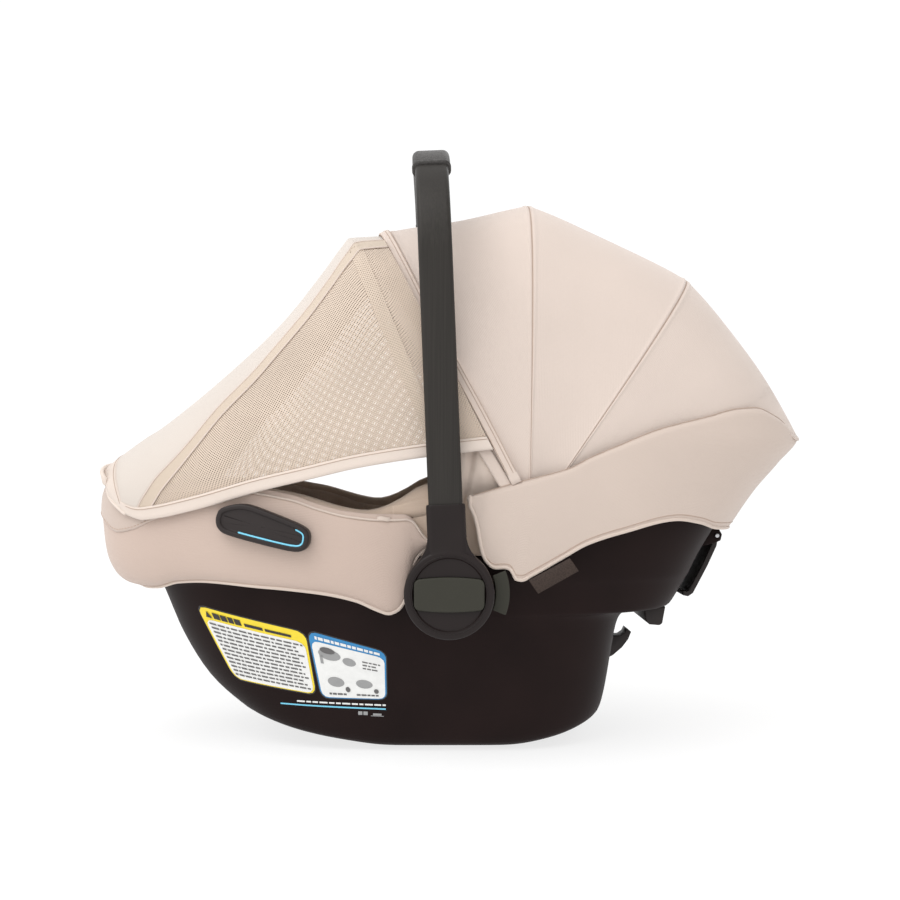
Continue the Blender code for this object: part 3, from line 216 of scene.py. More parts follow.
# (share of the height, front, half width)
FOOT_ROWS = [(0.00, -0.2930, 0.1700), (0.00, -0.3045, 0.1712), (0.03, -0.3180, 0.1724),
             (0.10, -0.3285, 0.1738), (0.30, -0.3380, 0.1755), (0.55, -0.3415, 0.1765),
             (0.80, -0.3435, 0.1770), (0.93, -0.3430, 0.1764), (1.00, -0.3385, 0.1748)]
skirt_hem_z = smooth_through([(0.016, 0.2400), (0.024, 0.2230), (0.028, 0.2010),
                              (0.0315, 0.1880), (0.042, 0.1790), (0.050, 0.1795), (0.056, 0.1775),
                              (0.060, 0.1690), (0.066, 0.1680), (0.073, 0.1715),
                              (0.100, 0.1870), (0.125, 0.2010), (0.158, 0.2110),
                              (0.210, 0.2215), (0.233, 0.2180), (0.250, 0.2125),
                              (0.280, 0.2095)])
skirt_top_z = smooth_through([(0.016, 0.2425), (0.062, 0.2550), (0.111, 0.2690),
                              (0.127, 0.2775), (0.162, 0.2915), (0.195, 0.3040),
                              (0.242, 0.3165), (0.268, 0.3230), (0.287, 0.3240),
                              (0.308, 0.3165), (0.335, 0.3020), (0.349, 0.2990)])
skirt_rear_x = smooth_through([(0.165, 0.2600), (0.208, 0.2780), (0.213, 0.2825),
                               (0.229, 0.2935), (0.247, 0.3065), (0.272, 0.3285),
                               (0.298, 0.3490), (0.325, 0.3490)])
SKIRT_HALF = 0.1912


def skirt_point(angle, share):
    """The skirt's outer surface: angle round the plan outline, share from hem to top seam."""
    x = plan_point(angle, COVER_FRONT, COVER_REAR, SKIRT_HALF, COVER_POWER)[0]
    for _ in range(4):
        z = skirt_hem_z(x) + share * (skirt_top_z(x) - skirt_hem_z(x))
        x, y = plan_point(angle, COVER_FRONT, skirt_rear_x(z), SKIRT_HALF, COVER_POWER)
    return x, y, z


def arch_point(theta, radius, half, turn):
    """A point on an arch about the canopy pivot. turn runs from 0, one foot, to pi, the other."""
    power = 2 / ARCH_POWER
    out = radius * max(math.sin(turn), 0.0) ** power
    y = -half * math.copysign(abs(math.cos(turn)) ** power, math.cos(turn))
    return CANOPY_X + out * math.cos(theta), y, CANOPY_Z + out * math.sin(theta)


def arch_path(theta, radius, half, foot, count):
    """An arch from one foot to the other, evenly spaced. foot is how far from the pivot it
    starts."""
    low = math.asin(min(1.0, (foot / radius) ** (ARCH_POWER / 2)))
    return even([arch_point(theta, radius, half, t)
                 for t in np.linspace(low, math.pi - low, 721)], count)


def cloth_foot(theta, gap=0.0020):
    """How far from the canopy's pivot the skirt's top seam is, along a ray at an angle."""
    low, high = 0.02, 0.29
    for _ in range(30):
        middle = (low + high) / 2
        above = CANOPY_Z + middle * math.sin(theta) - gap
        if above < skirt_top_z(CANOPY_X + middle * math.cos(theta)):
            low = middle
        else:
            high = middle
    return high


shade_crown_z = smooth_through([(-0.349, 0.2560), (-0.3455, 0.2610), (-0.333, 0.2740),
                                (-0.313, 0.2900), (-0.2785, 0.3140), (-0.235, 0.3490),
                                (-0.184, 0.3920), (-0.147, 0.4310), (-0.121, 0.4640),
                                (-0.1045, 0.4860), (-0.0968, 0.4940), (-0.066, 0.4955)])
shade_hem_z = smooth_through([(-0.349, 0.2640), (-0.3250, 0.2560), (-0.3243, 0.2500),
                              (-0.3228, 0.2430), (-0.3180, 0.2365), (-0.3116, 0.2314),
                              (-0.2998, 0.2242), (-0.2842, 0.2206),
                              (-0.266, 0.2228), (-0.2414, 0.2282), (-0.219, 0.2340),
                              (-0.173, 0.2475), (-0.127, 0.2585), (-0.080, 0.2695),
                              (-0.020, 0.2790), (0.041, 0.2860)])
shade_half = smooth_through([(-0.190, 0.1828), (-0.110, 0.1860), (-0.030, 0.1905)])
SHADE_FRONT = -0.3490
# (x at the side hem, x at the crown, squareness of the arch)
SHADE_STATIONS = [(0.0395, -0.0670, 4.0), (0.0310, -0.0968, 4.0), (-0.0100, -0.1060, 3.8),
                  (-0.0500, -0.1210, 3.5), (-0.1000, -0.1550, 3.2), (-0.1600, -0.2080, 2.9),
                  (-0.2200, -0.2660, 2.7), (-0.2800, -0.3130, 2.6), (-0.3090, -0.3280, 2.6),
                  (-0.3190, -0.3335, 2.6), (-0.3228, -0.3355, 2.6), (-0.3243, -0.3370, 2.6),
                  (-0.3250, -0.3380, 2.6)]
SHADE_LAST = len(SHADE_STATIONS) - 1
shade_hem_x, shade_crown_x, shade_power = columns_through(SHADE_STATIONS)
# how far up the arch, as a share, the seam between the mesh side and the top panel lies
shade_seam = smooth_through([(0.0, 0.935), (0.73, 0.93), (1.55, 0.915), (2.8, 0.89), (3.55, 0.868),
                             (4.24, 0.838), (4.78, 0.783), (5.27, 0.726), (5.85, 0.60),
                             (6.47, 0.442), (6.75, 0.3185), (7.07, 0.168), (7.35, 0.0)])
MESH_END = 7.35             # the station where the mesh side runs out at the hem


def shade_point(station, turn, out=0.0):
    """A point of the sunshade's surface. turn runs from 0, the left hem, to pi, the right one.
    out moves it away from the seat's middle line."""
    hem_x, crown_x, power = (f(station) for f in (shade_hem_x, shade_crown_x, shade_power))
    along = min(0.9995, abs(min(hem_x, 0.0)) / -SHADE_FRONT)
    half = shade_half(hem_x) * (1 - along ** COVER_POWER) ** (1 / COVER_POWER) + out
    share = max(math.sin(turn), 0.0) ** (2 / power)
    z_hem, z_crown = shade_hem_z(hem_x), shade_crown_z(crown_x) + out
    y = -half * math.copysign(abs(math.cos(turn)) ** (2 / power), math.cos(turn))
    return hem_x + (crown_x - hem_x) * share, y, z_hem + (z_crown - z_hem) * share


def shade_spot(station, turn, side, out=0.0):
    """A point of the sunshade on one side of the seat, where turn 0 is that side's hem."""
    x, y, z = shade_point(station, turn, out)
    return np.array((x, y * -side, z))


def shade_rise(station):
    """How high the sunshade's arch rises above its hem, never quite nothing."""
    return max(shade_crown_z(shade_crown_x(station)) - shade_hem_z(shade_hem_x(station)), 0.02)


def shade_turn(station, share):
    """The turn at which the arch at a station has gone that share of the way up."""
    return math.asin(min(1.0, share ** (shade_power(station) / 2)))


def in_handle(point):
    """A point of the upright handle, turned to the handle's lean about its pivot."""
    return Matrix.Rotation(HANDLE_LEAN, 3, "Y") @ Vector(point) + Vector((0, 0, HANDLE_AXIS_Z))


# ---- mesh helpers -----------------------------------------------------------------------------
def put_in_scene(name, data):
    made = bpy.data.objects.new(name, data)
    bpy.context.scene.collection.objects.link(made)
    return made


def shade_smooth(piece, sharp_from=None):
    """Smooth shading, except across edges sharper than an angle in degrees."""
    piece.data.polygons.foreach_set("use_smooth", [True] * len(piece.data.polygons))
    if sharp_from:
        piece.data.set_sharp_from_angle(angle=math.radians(sharp_from))


def add_piece(name, mesh, material, body):
    """Puts a mesh in the scene as a piece that rides on a body, or is left free if body is None."""
    piece = put_in_scene(name, mesh)
    mesh.materials.clear()
    mesh.materials.append(material)
    shade_smooth(piece)
    if body:
        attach(piece, body)
    return piece


@contextmanager
def editing(data):
    """A mesh as a bmesh, written back with its faces turned outwards."""
    mesh = bmesh.new()
    mesh.from_mesh(data)
    mesh.verts.ensure_lookup_table()
    yield mesh
    bmesh.ops.recalc_face_normals(mesh, faces=mesh.faces)
    mesh.to_mesh(data)
    mesh.free()


def face_out(mesh, middle):
    """Turns a sheet's faces away from a point."""
    total = sum((f.center - middle).dot(f.normal) * f.area for f in mesh.polygons)
    if total < 0:
        mesh.flip_normals()
    return mesh


def grid_mesh(name, rows, closed=False, middle=MIDDLE):
    """A sheet over rows of points, with a UV map in metres. closed joins each row's ends."""
    rows = np.array(rows, float)
    count, wide = rows.shape[:2]
    faces = []
    for i in range(count - 1):
        for j in range(wide if closed else wide - 1):
            k = (j + 1) % wide
            faces.append((i * wide + j, i * wide + k, (i + 1) * wide + k, (i + 1) * wide + j))
    mesh = bpy.data.meshes.new(name)
    mesh.from_pydata(rows.reshape(-1, 3).tolist(), [], faces)
    along = np.zeros((count, wide))
    along[:, 1:] = np.cumsum(np.linalg.norm(np.diff(rows, axis=1), axis=2), axis=1)
    across = np.zeros((count, wide))
    across[1:] = np.cumsum(np.linalg.norm(np.diff(rows, axis=0), axis=2), axis=0)
    layer = mesh.uv_layers.new(name="metres")
    u, v = along.ravel(), across.ravel()
    for loop in mesh.loops:
        layer.data[loop.index].uv = (u[loop.vertex_index], v[loop.vertex_index])
    return face_out(mesh, middle)


def grid_normals(rows, middle=MIDDLE):
    """Unit normals of a grid of points, away from a point."""
    rows = np.array(rows, float)
    normals = np.cross(np.gradient(rows, axis=0), np.gradient(rows, axis=1))
    normals /= np.maximum(np.linalg.norm(normals, axis=2, keepdims=True), 1e-12)
    facing = ((rows - np.array(middle)) * normals).sum(axis=2, keepdims=True)
    return normals * np.where(facing.mean() < 0, -1.0, 1.0)


def rumple(rows, size, scale, seed, middle=MIDDLE):
    """Moves a grid of points in and out by soft noise."""
    rows = np.array(rows, float)
    shift = np.array([[noise.noise(Vector(p) * scale + Vector((seed, 0, 0))) for p in row]
                      for row in rows])
    return rows + grid_normals(rows, middle) * shift[..., None] * size


def thicken(piece, thickness, offset=-1.0):
    modifier = piece.modifiers.new("Solidify", "SOLIDIFY")
    modifier.thickness = thickness
    modifier.offset = offset
    return piece


def subdivide(piece, levels):
    modifier = piece.modifiers.new("Smooth", "SUBSURF")
    modifier.levels = modifier.render_levels = levels
    return piece


def bevel(piece, width, segments=3, angle=32):
    modifier = piece.modifiers.new("Bevel", "BEVEL")
    modifier.width = width
    modifier.segments = segments
    modifier.limit_method = "ANGLE"
    modifier.angle_limit = math.radians(angle)
    modifier.harden_normals = False
    return piece


def applied(piece):
    """Applies a piece's modifiers to its mesh."""
    bpy.context.view_layer.update()
    shown = piece.evaluated_get(bpy.context.evaluated_depsgraph_get())
    piece.data = bpy.data.meshes.new_from_object(shown)
    piece.modifiers.clear()
    return piece


def cut(piece, *cutters, operation="DIFFERENCE"):
    """Booleans with throwaway cutters."""
    for cutter in cutters:
        modifier = piece.modifiers.new("Boolean", "BOOLEAN")
        modifier.operation = operation
        modifier.solver = "EXACT"
        modifier.object = cutter
    applied(piece)
    for cutter in cutters:
        bpy.data.objects.remove(cutter)
    return piece


def box_cutter(low, high):
    low, high = Vector(low), Vector(high)
    mesh = bmesh.new()
    bmesh.ops.create_cube(mesh, size=1.0)
    bmesh.ops.scale(mesh, vec=high - low, verts=mesh.verts)
    bmesh.ops.translate(mesh, vec=(low + high) / 2, verts=mesh.verts)
    data = bpy.data.meshes.new("cutter")
    mesh.to_mesh(data)
    mesh.free()
    return put_in_scene("cutter", data)


def extruded_mesh(name, outline, y_from, y_to):
    """An outline of (x, z) points, extruded along Y."""
    data = bpy.data.meshes.new(name)
    with editing(data) as mesh:
        face = mesh.faces.new([mesh.verts.new((x, y_from, z)) for x, z in outline])
        grown = bmesh.ops.extrude_face_region(mesh, geom=[face])["geom"]
        moved = [g for g in grown if isinstance(g, bmesh.types.BMVert)]
        bmesh.ops.translate(mesh, vec=(0, y_to - y_from, 0), verts=moved)
    return data


def turned_mesh(name, profile, side, segments=96):
    """A closed solid turned about the handle's axis. profile holds (radius, y away from the
    middle), from the axis round to the axis."""
    rows = []
    for radius, y in profile:
        radius = max(radius, 1e-5)
        rows.append([(radius * math.cos(a), side * y, HANDLE_AXIS_Z + radius * math.sin(a))
                     for a in np.linspace(0, 2 * math.pi, segments, endpoint=False)])
    data = grid_mesh(name, rows, closed=True)
    with editing(data) as mesh:
        bmesh.ops.remove_doubles(mesh, verts=mesh.verts, dist=1e-4)
    return data


def rounded_profile(wide, thick, radius, steps=8):
    """A rectangle with round corners, as points about its middle."""
    points = []
    for corner in range(4):
        sx = 1 if corner in (0, 3) else -1
        sy = 1 if corner in (0, 1) else -1
        for step in range(steps + 1):
            angle = (corner + step / steps) * math.pi / 2
            points.append((sx * (wide / 2 - radius) + radius * math.cos(angle),
                           sy * (thick / 2 - radius) + radius * math.sin(angle)))
    return points


def capped(data, count):
    """Closes the ends of a bar whose rows hold count points."""
    with editing(data) as mesh:
        for ids in (range(count), range(-1, -1 - count, -1)):
            mesh.faces.new([mesh.verts[i] for i in ids])
    return data


def sweep_mesh(name, path, side, profile, grow=None):
    """A closed bar along a path. profile holds (along side, across). grow gives each row's
    scale."""
    path = [Vector(p) for p in path]
    side = Vector(side).normalized()
    rows = []
    for i, point in enumerate(path):
        ahead = path[min(i + 1, len(path) - 1)] - path[max(i - 1, 0)]
        across = ahead.normalized().cross(side)
        scale = grow(i / (len(path) - 1)) if grow else 1.0
        rows.append([point + side * a * scale + across * b * scale for a, b in profile])
    return capped(grid_mesh(name, rows, closed=True), len(profile))


def tube_mesh(name, points, radius, sides=10, closed=False):
    """A round cord of cloth or plastic along points, with rounded ends."""
    points = [Vector(p) for p in points]
    count, rows, guide = len(points), [], None
    for i, point in enumerate(points):
        before = points[i - 1 if closed else max(i - 1, 0)]
        after = points[(i + 1) % count if closed else min(i + 1, count - 1)]
        ahead = (after - before).normalized()
        if guide is None:
            guide = ahead.orthogonal().normalized()
        guide = (guide - ahead * guide.dot(ahead)).normalized()
        other = ahead.cross(guide)
        size = radius if closed or 0 < i < count - 1 else radius * 0.45
        rows.append([point + (guide * math.cos(a) + other * math.sin(a)) * size
                     for a in np.linspace(0, 2 * math.pi, sides, endpoint=False)])
    if not closed:
        return capped(grid_mesh(name, rows, closed=True), sides)
    data = grid_mesh(name, [*rows, rows[0]], closed=True)
    with editing(data) as mesh:
        bmesh.ops.remove_doubles(mesh, verts=mesh.verts, dist=1e-6)
    return data


def grid_piece(name, rows, material, body, slot="canopy_cloth", thick=0.0, **shape):
    """A sheet over rows of points, as a piece. thick gives it a thickness, inwards."""
    piece = add_piece(name, grid_mesh(name, rows, **shape), material, body)
    return thicken(piece, thick) if thick else piece


def tube_piece(name, points, radius, material, body, slot="canopy_cloth", **shape):
    return add_piece(name, tube_mesh(name, points, radius, **shape), material, body)


def sweep_piece(name, path, side, profile, material, body, grow=None):
    return add_piece(name, sweep_mesh(name, path, side, profile, grow), material, body)


def tree_of(piece):
    """A tree of a piece's shown surface, for finding points on it."""
    bpy.context.view_layer.update()
    return BVHTree.FromObject(piece, bpy.context.evaluated_depsgraph_get())


STITCH, STITCH_GAP, THREAD_R = 0.0030, 0.0014, 0.00034


def stitches(name, points, tree, material, body, lift=0.00015):
    """A row of short threads that lie on a surface along a line of points."""
    length = sum((Vector(b) - Vector(a)).length for a, b in zip(points, points[1:]))
    count = int(length / (STITCH + STITCH_GAP))
    spots = even(points, count * 2 + 1)
    verts, faces = [], []
    for i in range(0, count * 2 - 1, 2):
        middle = (Vector(spots[i]) + Vector(spots[i + 1])) / 2
        found = tree.find_nearest(middle)
        if found[0] is None:
            continue
        normal = found[1]
        ahead = (Vector(spots[i + 1]) - Vector(spots[i])).normalized()
        ahead = (ahead - normal * ahead.dot(normal)).normalized()
        across = ahead.cross(normal)
        centre = found[0] + normal * lift
        first = len(verts)
        for share, size in ((-0.5, 0.35), (-0.3, 1.0), (0.3, 1.0), (0.5, 0.35)):
            for a in np.linspace(0, 2 * math.pi, 6, endpoint=False):
                verts.append(centre + ahead * STITCH * share
                             + (across * math.cos(a) + normal * math.sin(a)) * THREAD_R * size)
        for ring in range(3):
            for k in range(6):
                a, b = first + ring * 6 + k, first + ring * 6 + (k + 1) % 6
                faces.append((a, b, b + 6, a + 6))
        faces.append(tuple(first + k for k in reversed(range(6))))
        faces.append(tuple(first + 18 + k for k in range(6)))
    mesh = bpy.data.meshes.new(name)
    mesh.from_pydata([tuple(v) for v in verts], [], faces)
    return add_piece(name, mesh, material, body)


def seam_line(name, points, tree, body, radius=0.00036, lift=0.0001, slot="canopy_cloth"):
    """A fine sewn line that lies on a surface along points, darker than the cloth so that it paints in the
    shade of the seam's groove as well as the thread.
    """
    spots = []
    for point in even(points, max(8, int(len(points) * 1.2))):
        found, normal, _, _ = tree.find_nearest(Vector(point))
        spots.append(found + normal * lift)
    return tube_piece(name, spots, radius, SEAM_THREAD_AND_SHADE, body, slot, sides=6)


# ---- materials ----------------------------------------------------------------------------------
def linear(*srgb):
    """A colour given as 0-255 screen values, as the shader's linear values."""
    return tuple((c / 255 / 12.92) if c <= 10 else ((c / 255 + 0.055) / 1.055) ** 2.4 for c in srgb)


class Nodes:
    """A node tree whose nodes are added one at a time."""

    def __init__(self, tree):
        self.tree = tree

    def add(self, kind, settings=None, **inputs):
        made = self.tree.nodes.new("ShaderNode" + kind)
        for key, value in (settings or {}).items():
            setattr(made, key, value)
        for key, value in inputs.items():
            socket = made.inputs[int(key[1:]) if key[0] == "i" and key[1:].isdigit()
                                 else key.replace("_", " ")]
            if isinstance(value, bpy.types.NodeSocket):
                self.tree.links.new(value, socket)
            else:
                socket.default_value = value
        return made

    def maths(self, operation, a, b=0.0):
        return self.add("Math", {"operation": operation}, i0=a, i1=b).outputs[0]


class Paint(Nodes):
    """A Principled material."""

    def __init__(self, name, roughness=0.5, **sockets):
        self.material = bpy.data.materials.new(name)
        self.material.use_nodes = True
        super().__init__(self.material.node_tree)
        self.shader = self.tree.nodes["Principled BSDF"]
        self.shader.inputs["Roughness"].default_value = roughness
        for socket, value in sockets.items():
            self.shader.inputs[socket.replace("_", " ")].default_value = value

    def place(self, kind="Object"):
        return self.add("TexCoord").outputs[kind]

    def mapped(self, where, **how):
        return self.add("Mapping", Vector=where, **how).outputs[0]

    def noise(self, where, scale, detail=3.0, roughness=0.5):
        return self.add("TexNoise", Vector=where, Scale=scale, Detail=detail,
                        Roughness=roughness).outputs["Fac"]

    def wave(self, where, period, direction="X"):
        """Parallel ribs of a period in metres."""
        return self.add("TexWave", {"bands_direction": direction}, Vector=where,
                        Scale=math.pi / 10 / period, Distortion=0.0).outputs["Fac"]

    def between(self, share, low, high):
        """A value from low to high as share goes from 0 to 1."""
        return self.add("MapRange", Value=share, To_Min=low, To_Max=high).outputs["Result"]

    def connect(self, output, socket):
        self.tree.links.new(output, self.shader.inputs[socket])

    def tint(self, share, low, high, places=(0.3, 0.7)):
        """Sets the base colour, from low to high as share passes from one place to the other."""
        ramp = self.add("ValToRGB", Fac=share)
        for stop, position, colour in zip(ramp.color_ramp.elements, places, (low, high)):
            stop.position = position
            stop.color = (*colour, 1.0)
        self.connect(ramp.outputs["Color"], "Base Color")

    def bump(self, height, distance):
        made = self.add("Bump", Height=height, Distance=distance, Strength=1.0)
        self.connect(made.outputs["Normal"], "Normal")


def scaled(colour, factor):
    return tuple(min(1.0, c * factor) for c in colour)


def knit(name, colour, rib=0.0011, depth=0.00012, mottle=0.05, sheen=0.25, roughness=0.85,
         where="UV"):
    """A smooth double knit: fine loops in two directions, and soft uneven tone."""
    paint = Paint(name, roughness, Sheen_Weight=sheen, Sheen_Roughness=0.45,
                  Specular_IOR_Level=0.25)
    cloth, world = paint.place(where), paint.place()
    loops = paint.maths("MULTIPLY", paint.wave(cloth, rib), paint.wave(cloth, rib * 1.35, "Y"))
    fuzz = paint.noise(world, 1400.0, 2.0)
    broad = paint.noise(world, 9.0, 3.0)
    tone = paint.maths("ADD", paint.maths("MULTIPLY", broad, 0.7),
                       paint.maths("MULTIPLY", fuzz, 0.3))
    paint.tint(tone, scaled(colour, 1 - mottle), scaled(colour, 1 + mottle), (0.25, 0.75))
    paint.bump(paint.maths("ADD", loops, paint.maths("MULTIPLY", fuzz, 0.6)), depth)
    return paint.material


def netting(name, colour, period=0.0021, hole=0.36):
    """Open mesh: threads round a grid of small holes."""
    paint = Paint(name, 0.8, Sheen_Weight=0.2, Specular_IOR_Level=0.2)
    cloth = paint.place("UV")
    turned = paint.mapped(cloth, Rotation=(0, 0, math.radians(45)))
    cells = paint.add("TexVoronoi", {"voronoi_dimensions": "2D"}, Vector=turned,
                      Scale=1 / period, Randomness=0.0).outputs["Distance"]
    thread = paint.add("MapRange", Value=cells, From_Min=hole - 0.05,
                       From_Max=hole + 0.05).outputs["Result"]
    broad = paint.noise(paint.place(), 12.0)
    paint.tint(broad, scaled(colour, 0.93), scaled(colour, 1.06))
    paint.connect(thread, "Alpha")
    paint.bump(cells, 0.0003)
    return paint.material


def moulded(name, colour, roughness=0.45, grain=900.0, depth=0.00006, wear=0.25, specular=0.4):
    """Moulded plastic: fine spark grain, slightly uneven gloss and tone."""
    paint = Paint(name, roughness, Specular_IOR_Level=specular)
    world = paint.place()
    fine = paint.noise(world, grain, 2.0)
    broad = paint.noise(world, 14.0, 4.0)
    paint.tint(broad, scaled(colour, 1 - wear * 0.5), scaled(colour, 1 + wear))
    paint.connect(paint.between(broad, roughness - 0.05, roughness + 0.08), "Roughness")
    paint.bump(fine, depth)
    return paint.material


def coated_metal(name, colour):
    """Satin powder coat over a drawn tube: long faint streaks and a fine orange peel."""
    paint = Paint(name, 0.42, Metallic=0.15, Specular_IOR_Level=0.22)
    world = paint.place()
    stretched = paint.mapped(world, Scale=(700.0, 700.0, 9.0))
    streaks = paint.noise(stretched, 1.0, 2.0)
    peel = paint.noise(world, 650.0, 2.0)
    paint.tint(streaks, scaled(colour, 0.88), scaled(colour, 1.12))
    paint.connect(paint.between(streaks, 0.36, 0.50), "Roughness")
    paint.bump(peel, 0.00005)
    return paint.material


def leather(name, colour, scale=620.0, depth=0.00025, roughness=0.5):
    """Leatherette: pebbled grain with darker creases."""
    paint = Paint(name, roughness, Specular_IOR_Level=0.35)
    world = paint.place()
    warp = paint.noise(world, 90.0, 2.0)
    cells = paint.add("TexVoronoi", {"feature": "SMOOTH_F1"}, Vector=world, Scale=scale,
                      Smoothness=0.4).outputs["Distance"]
    grain = paint.maths("ADD", cells, paint.maths("MULTIPLY", warp, 0.25))
    paint.tint(grain, scaled(colour, 1.2), scaled(colour, 0.65), (0.2, 0.9))
    paint.connect(paint.between(cells, roughness - 0.06, roughness + 0.14), "Roughness")
    paint.bump(paint.maths("SUBTRACT", 1.0, grain), depth)
    return paint.material


def woven_webbing(name, colour):
    """Seat-belt webbing: a fine twill across and along the strap."""
    paint = Paint(name, 0.7, Sheen_Weight=0.2, Specular_IOR_Level=0.3)
    world = paint.place()
    twill = paint.mapped(world, Rotation=(0, 0.4, math.radians(38)))
    cross = paint.maths("MULTIPLY", paint.wave(twill, 0.0013), paint.wave(world, 0.0010, "Y"))
    paint.tint(cross, scaled(colour, 0.7), scaled(colour, 1.3), (0.1, 0.7))
    paint.bump(cross, 0.0002)
    return paint.material


def bare_steel(name):
    paint = Paint(name, 0.3, Metallic=1.0)
    world = paint.place()
    stretched = paint.mapped(world, Scale=(60.0, 900.0, 60.0))
    streaks = paint.noise(stretched, 1.0, 3.0)
    paint.tint(streaks, (0.40, 0.40, 0.41), (0.62, 0.62, 0.63), (0.2, 0.8))
    paint.connect(paint.between(streaks, 0.22, 0.42), "Roughness")
    return paint.material


def foam_material(name):
    paint = Paint(name, 0.95, Specular_IOR_Level=0.1)
    world = paint.place()
    beads = paint.add("TexVoronoi", {}, Vector=world, Scale=260.0).outputs["Distance"]
    paint.tint(beads, (0.11, 0.11, 0.11), (0.035, 0.035, 0.035), (0.1, 0.8))
    paint.bump(paint.maths("SUBTRACT", 1.0, beads), 0.0006)
    return paint.material


def printed(name, colour, roughness=0.35):
    """A printed label: an even ink with the faint mottle of its film."""
    paint = Paint(name, roughness, Specular_IOR_Level=0.5, Coat_Weight=0.3)
    film = paint.noise(paint.place(), 160.0, 3.0)
    paint.tint(film, scaled(colour, 0.96), scaled(colour, 1.03))
    paint.bump(film, 0.00003)
    return paint.material


CREAM = linear(213, 198, 188)
CANOPY_CLOTH = knit("canopy_knit", CREAM)
SKIRT_CLOTH = knit("skirt_knit", linear(204, 188, 177), mottle=0.04)
BOOT_CLOTH = knit("boot_knit", linear(197, 177, 165), mottle=0.04)
SHADE_CLOTH = knit("shade_knit", linear(209, 199, 190), rib=0.0009, mottle=0.03)
BAND_CLOTH = knit("band_knit", linear(223, 209, 198), rib=0.0008, mottle=0.03)
TRIM_CLOTH = knit("trim_knit", linear(216, 200, 189), rib=0.0007, mottle=0.03)
PATCH_CLOTH = knit("patch_knit", linear(198, 181, 170), rib=0.0009, mottle=0.03)
PIPING_CLOTH = knit("piping_knit", linear(212, 196, 184), rib=0.0008, mottle=0.03)
PAD_CLOTH = knit("pad_knit", linear(207, 187, 171), rib=0.0013, depth=0.0002)
INSERT_CLOTH = knit("insert_weave", linear(222, 205, 190), 0.0016, 0.0002, sheen=0.35, where="Object")
SLEEVE_CLOTH = knit("sleeve_knit", linear(206, 190, 178), rib=0.0010, where="Object")
LINING_CLOTH = knit("lining_knit", linear(205, 184, 166), rib=0.0010)
NET_CLOTH = netting("shade_net", linear(214, 196, 179), 0.0020, 0.265)
STRIPE_CLOTH = netting("stripe_net", linear(208, 191, 174), 0.0020, 0.22)
TAPE_CLOTH = knit("tape_knit", linear(204, 188, 171), rib=0.0008, mottle=0.03)
# seam lines: a brown darker than the thread, for the thread together with the painted shade of the seam's
# groove
SEAM_THREAD_AND_SHADE = knit("seam_thread_and_shade", linear(182, 160, 145), rib=0.0004, depth=0.00004, sheen=0.1)
THREAD = knit("thread", linear(192, 168, 150), rib=0.0004, depth=0.00004, sheen=0.1)
DARK_THREAD = knit("dark_thread", linear(78, 70, 64), rib=0.0004, depth=0.00004, sheen=0.1)
SHELL_PLASTIC = moulded("shell_moulding", linear(30, 20, 19), 0.55, specular=0.09)
HUB_PLASTIC = moulded("hub_moulding", linear(31, 24, 23), 0.38, specular=0.22)
OLIVE_PLASTIC = moulded("olive_moulding", linear(54, 53, 46), 0.48, wear=0.1, specular=0.18)
BLACK_PLASTIC = moulded("black_moulding", linear(44, 38, 37), 0.42, wear=0.15, specular=0.25)
BOW_PLASTIC = moulded("bow_moulding", linear(96, 92, 88), 0.5, wear=0.1)
RED_PLASTIC = moulded("red_moulding", linear(196, 34, 28), 0.3, depth=0.00003, wear=0.1)
ARM_METAL = coated_metal("arm_coating", linear(48, 45, 42))
GRIP_LEATHER = leather("grip_leather", linear(62, 59, 57))
TAG_LEATHER = leather("tag_leather", linear(58, 44, 37), 900.0, 0.00012, 0.6)
WEBBING = woven_webbing("webbing", linear(74, 68, 66))
STEEL = bare_steel("steel")
FOAM = foam_material("bead_foam")
CYAN_PLASTIC = printed("cyan_inlay", linear(118, 206, 235), 0.3)
LABEL_WHITE = printed("label_white", linear(232, 232, 230))
LABEL_YELLOW = printed("label_yellow", linear(240, 214, 40))
LABEL_BLUE = printed("label_blue", linear(38, 132, 190))
LABEL_GREY = printed("label_grey", linear(150, 150, 150))
LABEL_INK = printed("label_ink", linear(92, 90, 90))
LABEL_BLACK = printed("label_black", linear(26, 22, 22))


# ---- camera, floor and light ----------------------------------------------------------------------
PHOTO_SIDE, FOCAL, AXIS_AT = 900, 1346.0, 430.0   # the picture's side, focal length and axis
SENSOR = 36.0
CAMERA_AT = (-0.017, -1.40, 0.285)
FLOOR_HALF, FLOOR_Z = 14.0, -0.0004
SKY_LIGHT, SKY_LEAN = 1.05, 0.22   # the sky's strength, and how much it falls towards the right


def make_camera():
    data = bpy.data.cameras.new("camera")
    data.sensor_width = SENSOR
    data.lens = SENSOR * FOCAL / PHOTO_SIDE
    data.shift_x = (PHOTO_SIDE / 2 - AXIS_AT) / PHOTO_SIDE
    camera = put_in_scene("camera", data)
    camera.location = CAMERA_AT
    camera.rotation_euler = (math.pi / 2, 0, 0)
    bpy.context.scene.camera = camera


def area_light(name, spot, aim, size, power):
    data = bpy.data.lights.new(name, "AREA")
    data.shape = "RECTANGLE"
    data.size, data.size_y = size
    data.energy = power
    light = put_in_scene(name, data)
    light.location = spot
    light.rotation_euler = (Vector(aim) - Vector(spot)).to_track_quat("-Z", "Y").to_euler()


def make_floor():
    """A pale floor with a little light of its own, so that the shadow on it stays faint."""
    paint = Paint("floor", 0.9, Specular_IOR_Level=0.0, Emission_Strength=0.76,
                  Emission_Color=(1.0, 1.0, 1.0, 1.0))
    drift = paint.noise(paint.place(), 3.0)
    paint.tint(drift, (0.27, 0.27, 0.27), (0.29, 0.29, 0.29), (0.2, 0.8))
    mesh = bpy.data.meshes.new("floor")
    corners = [(FLOOR_HALF * x, FLOOR_HALF * y, FLOOR_Z) for x, y in ((-1, -1), (1, -1), (1, 1), (-1, 1))]
    mesh.from_pydata(corners, [], [range(4)])
    mesh.materials.append(paint.material)
    put_in_scene("floor", mesh)


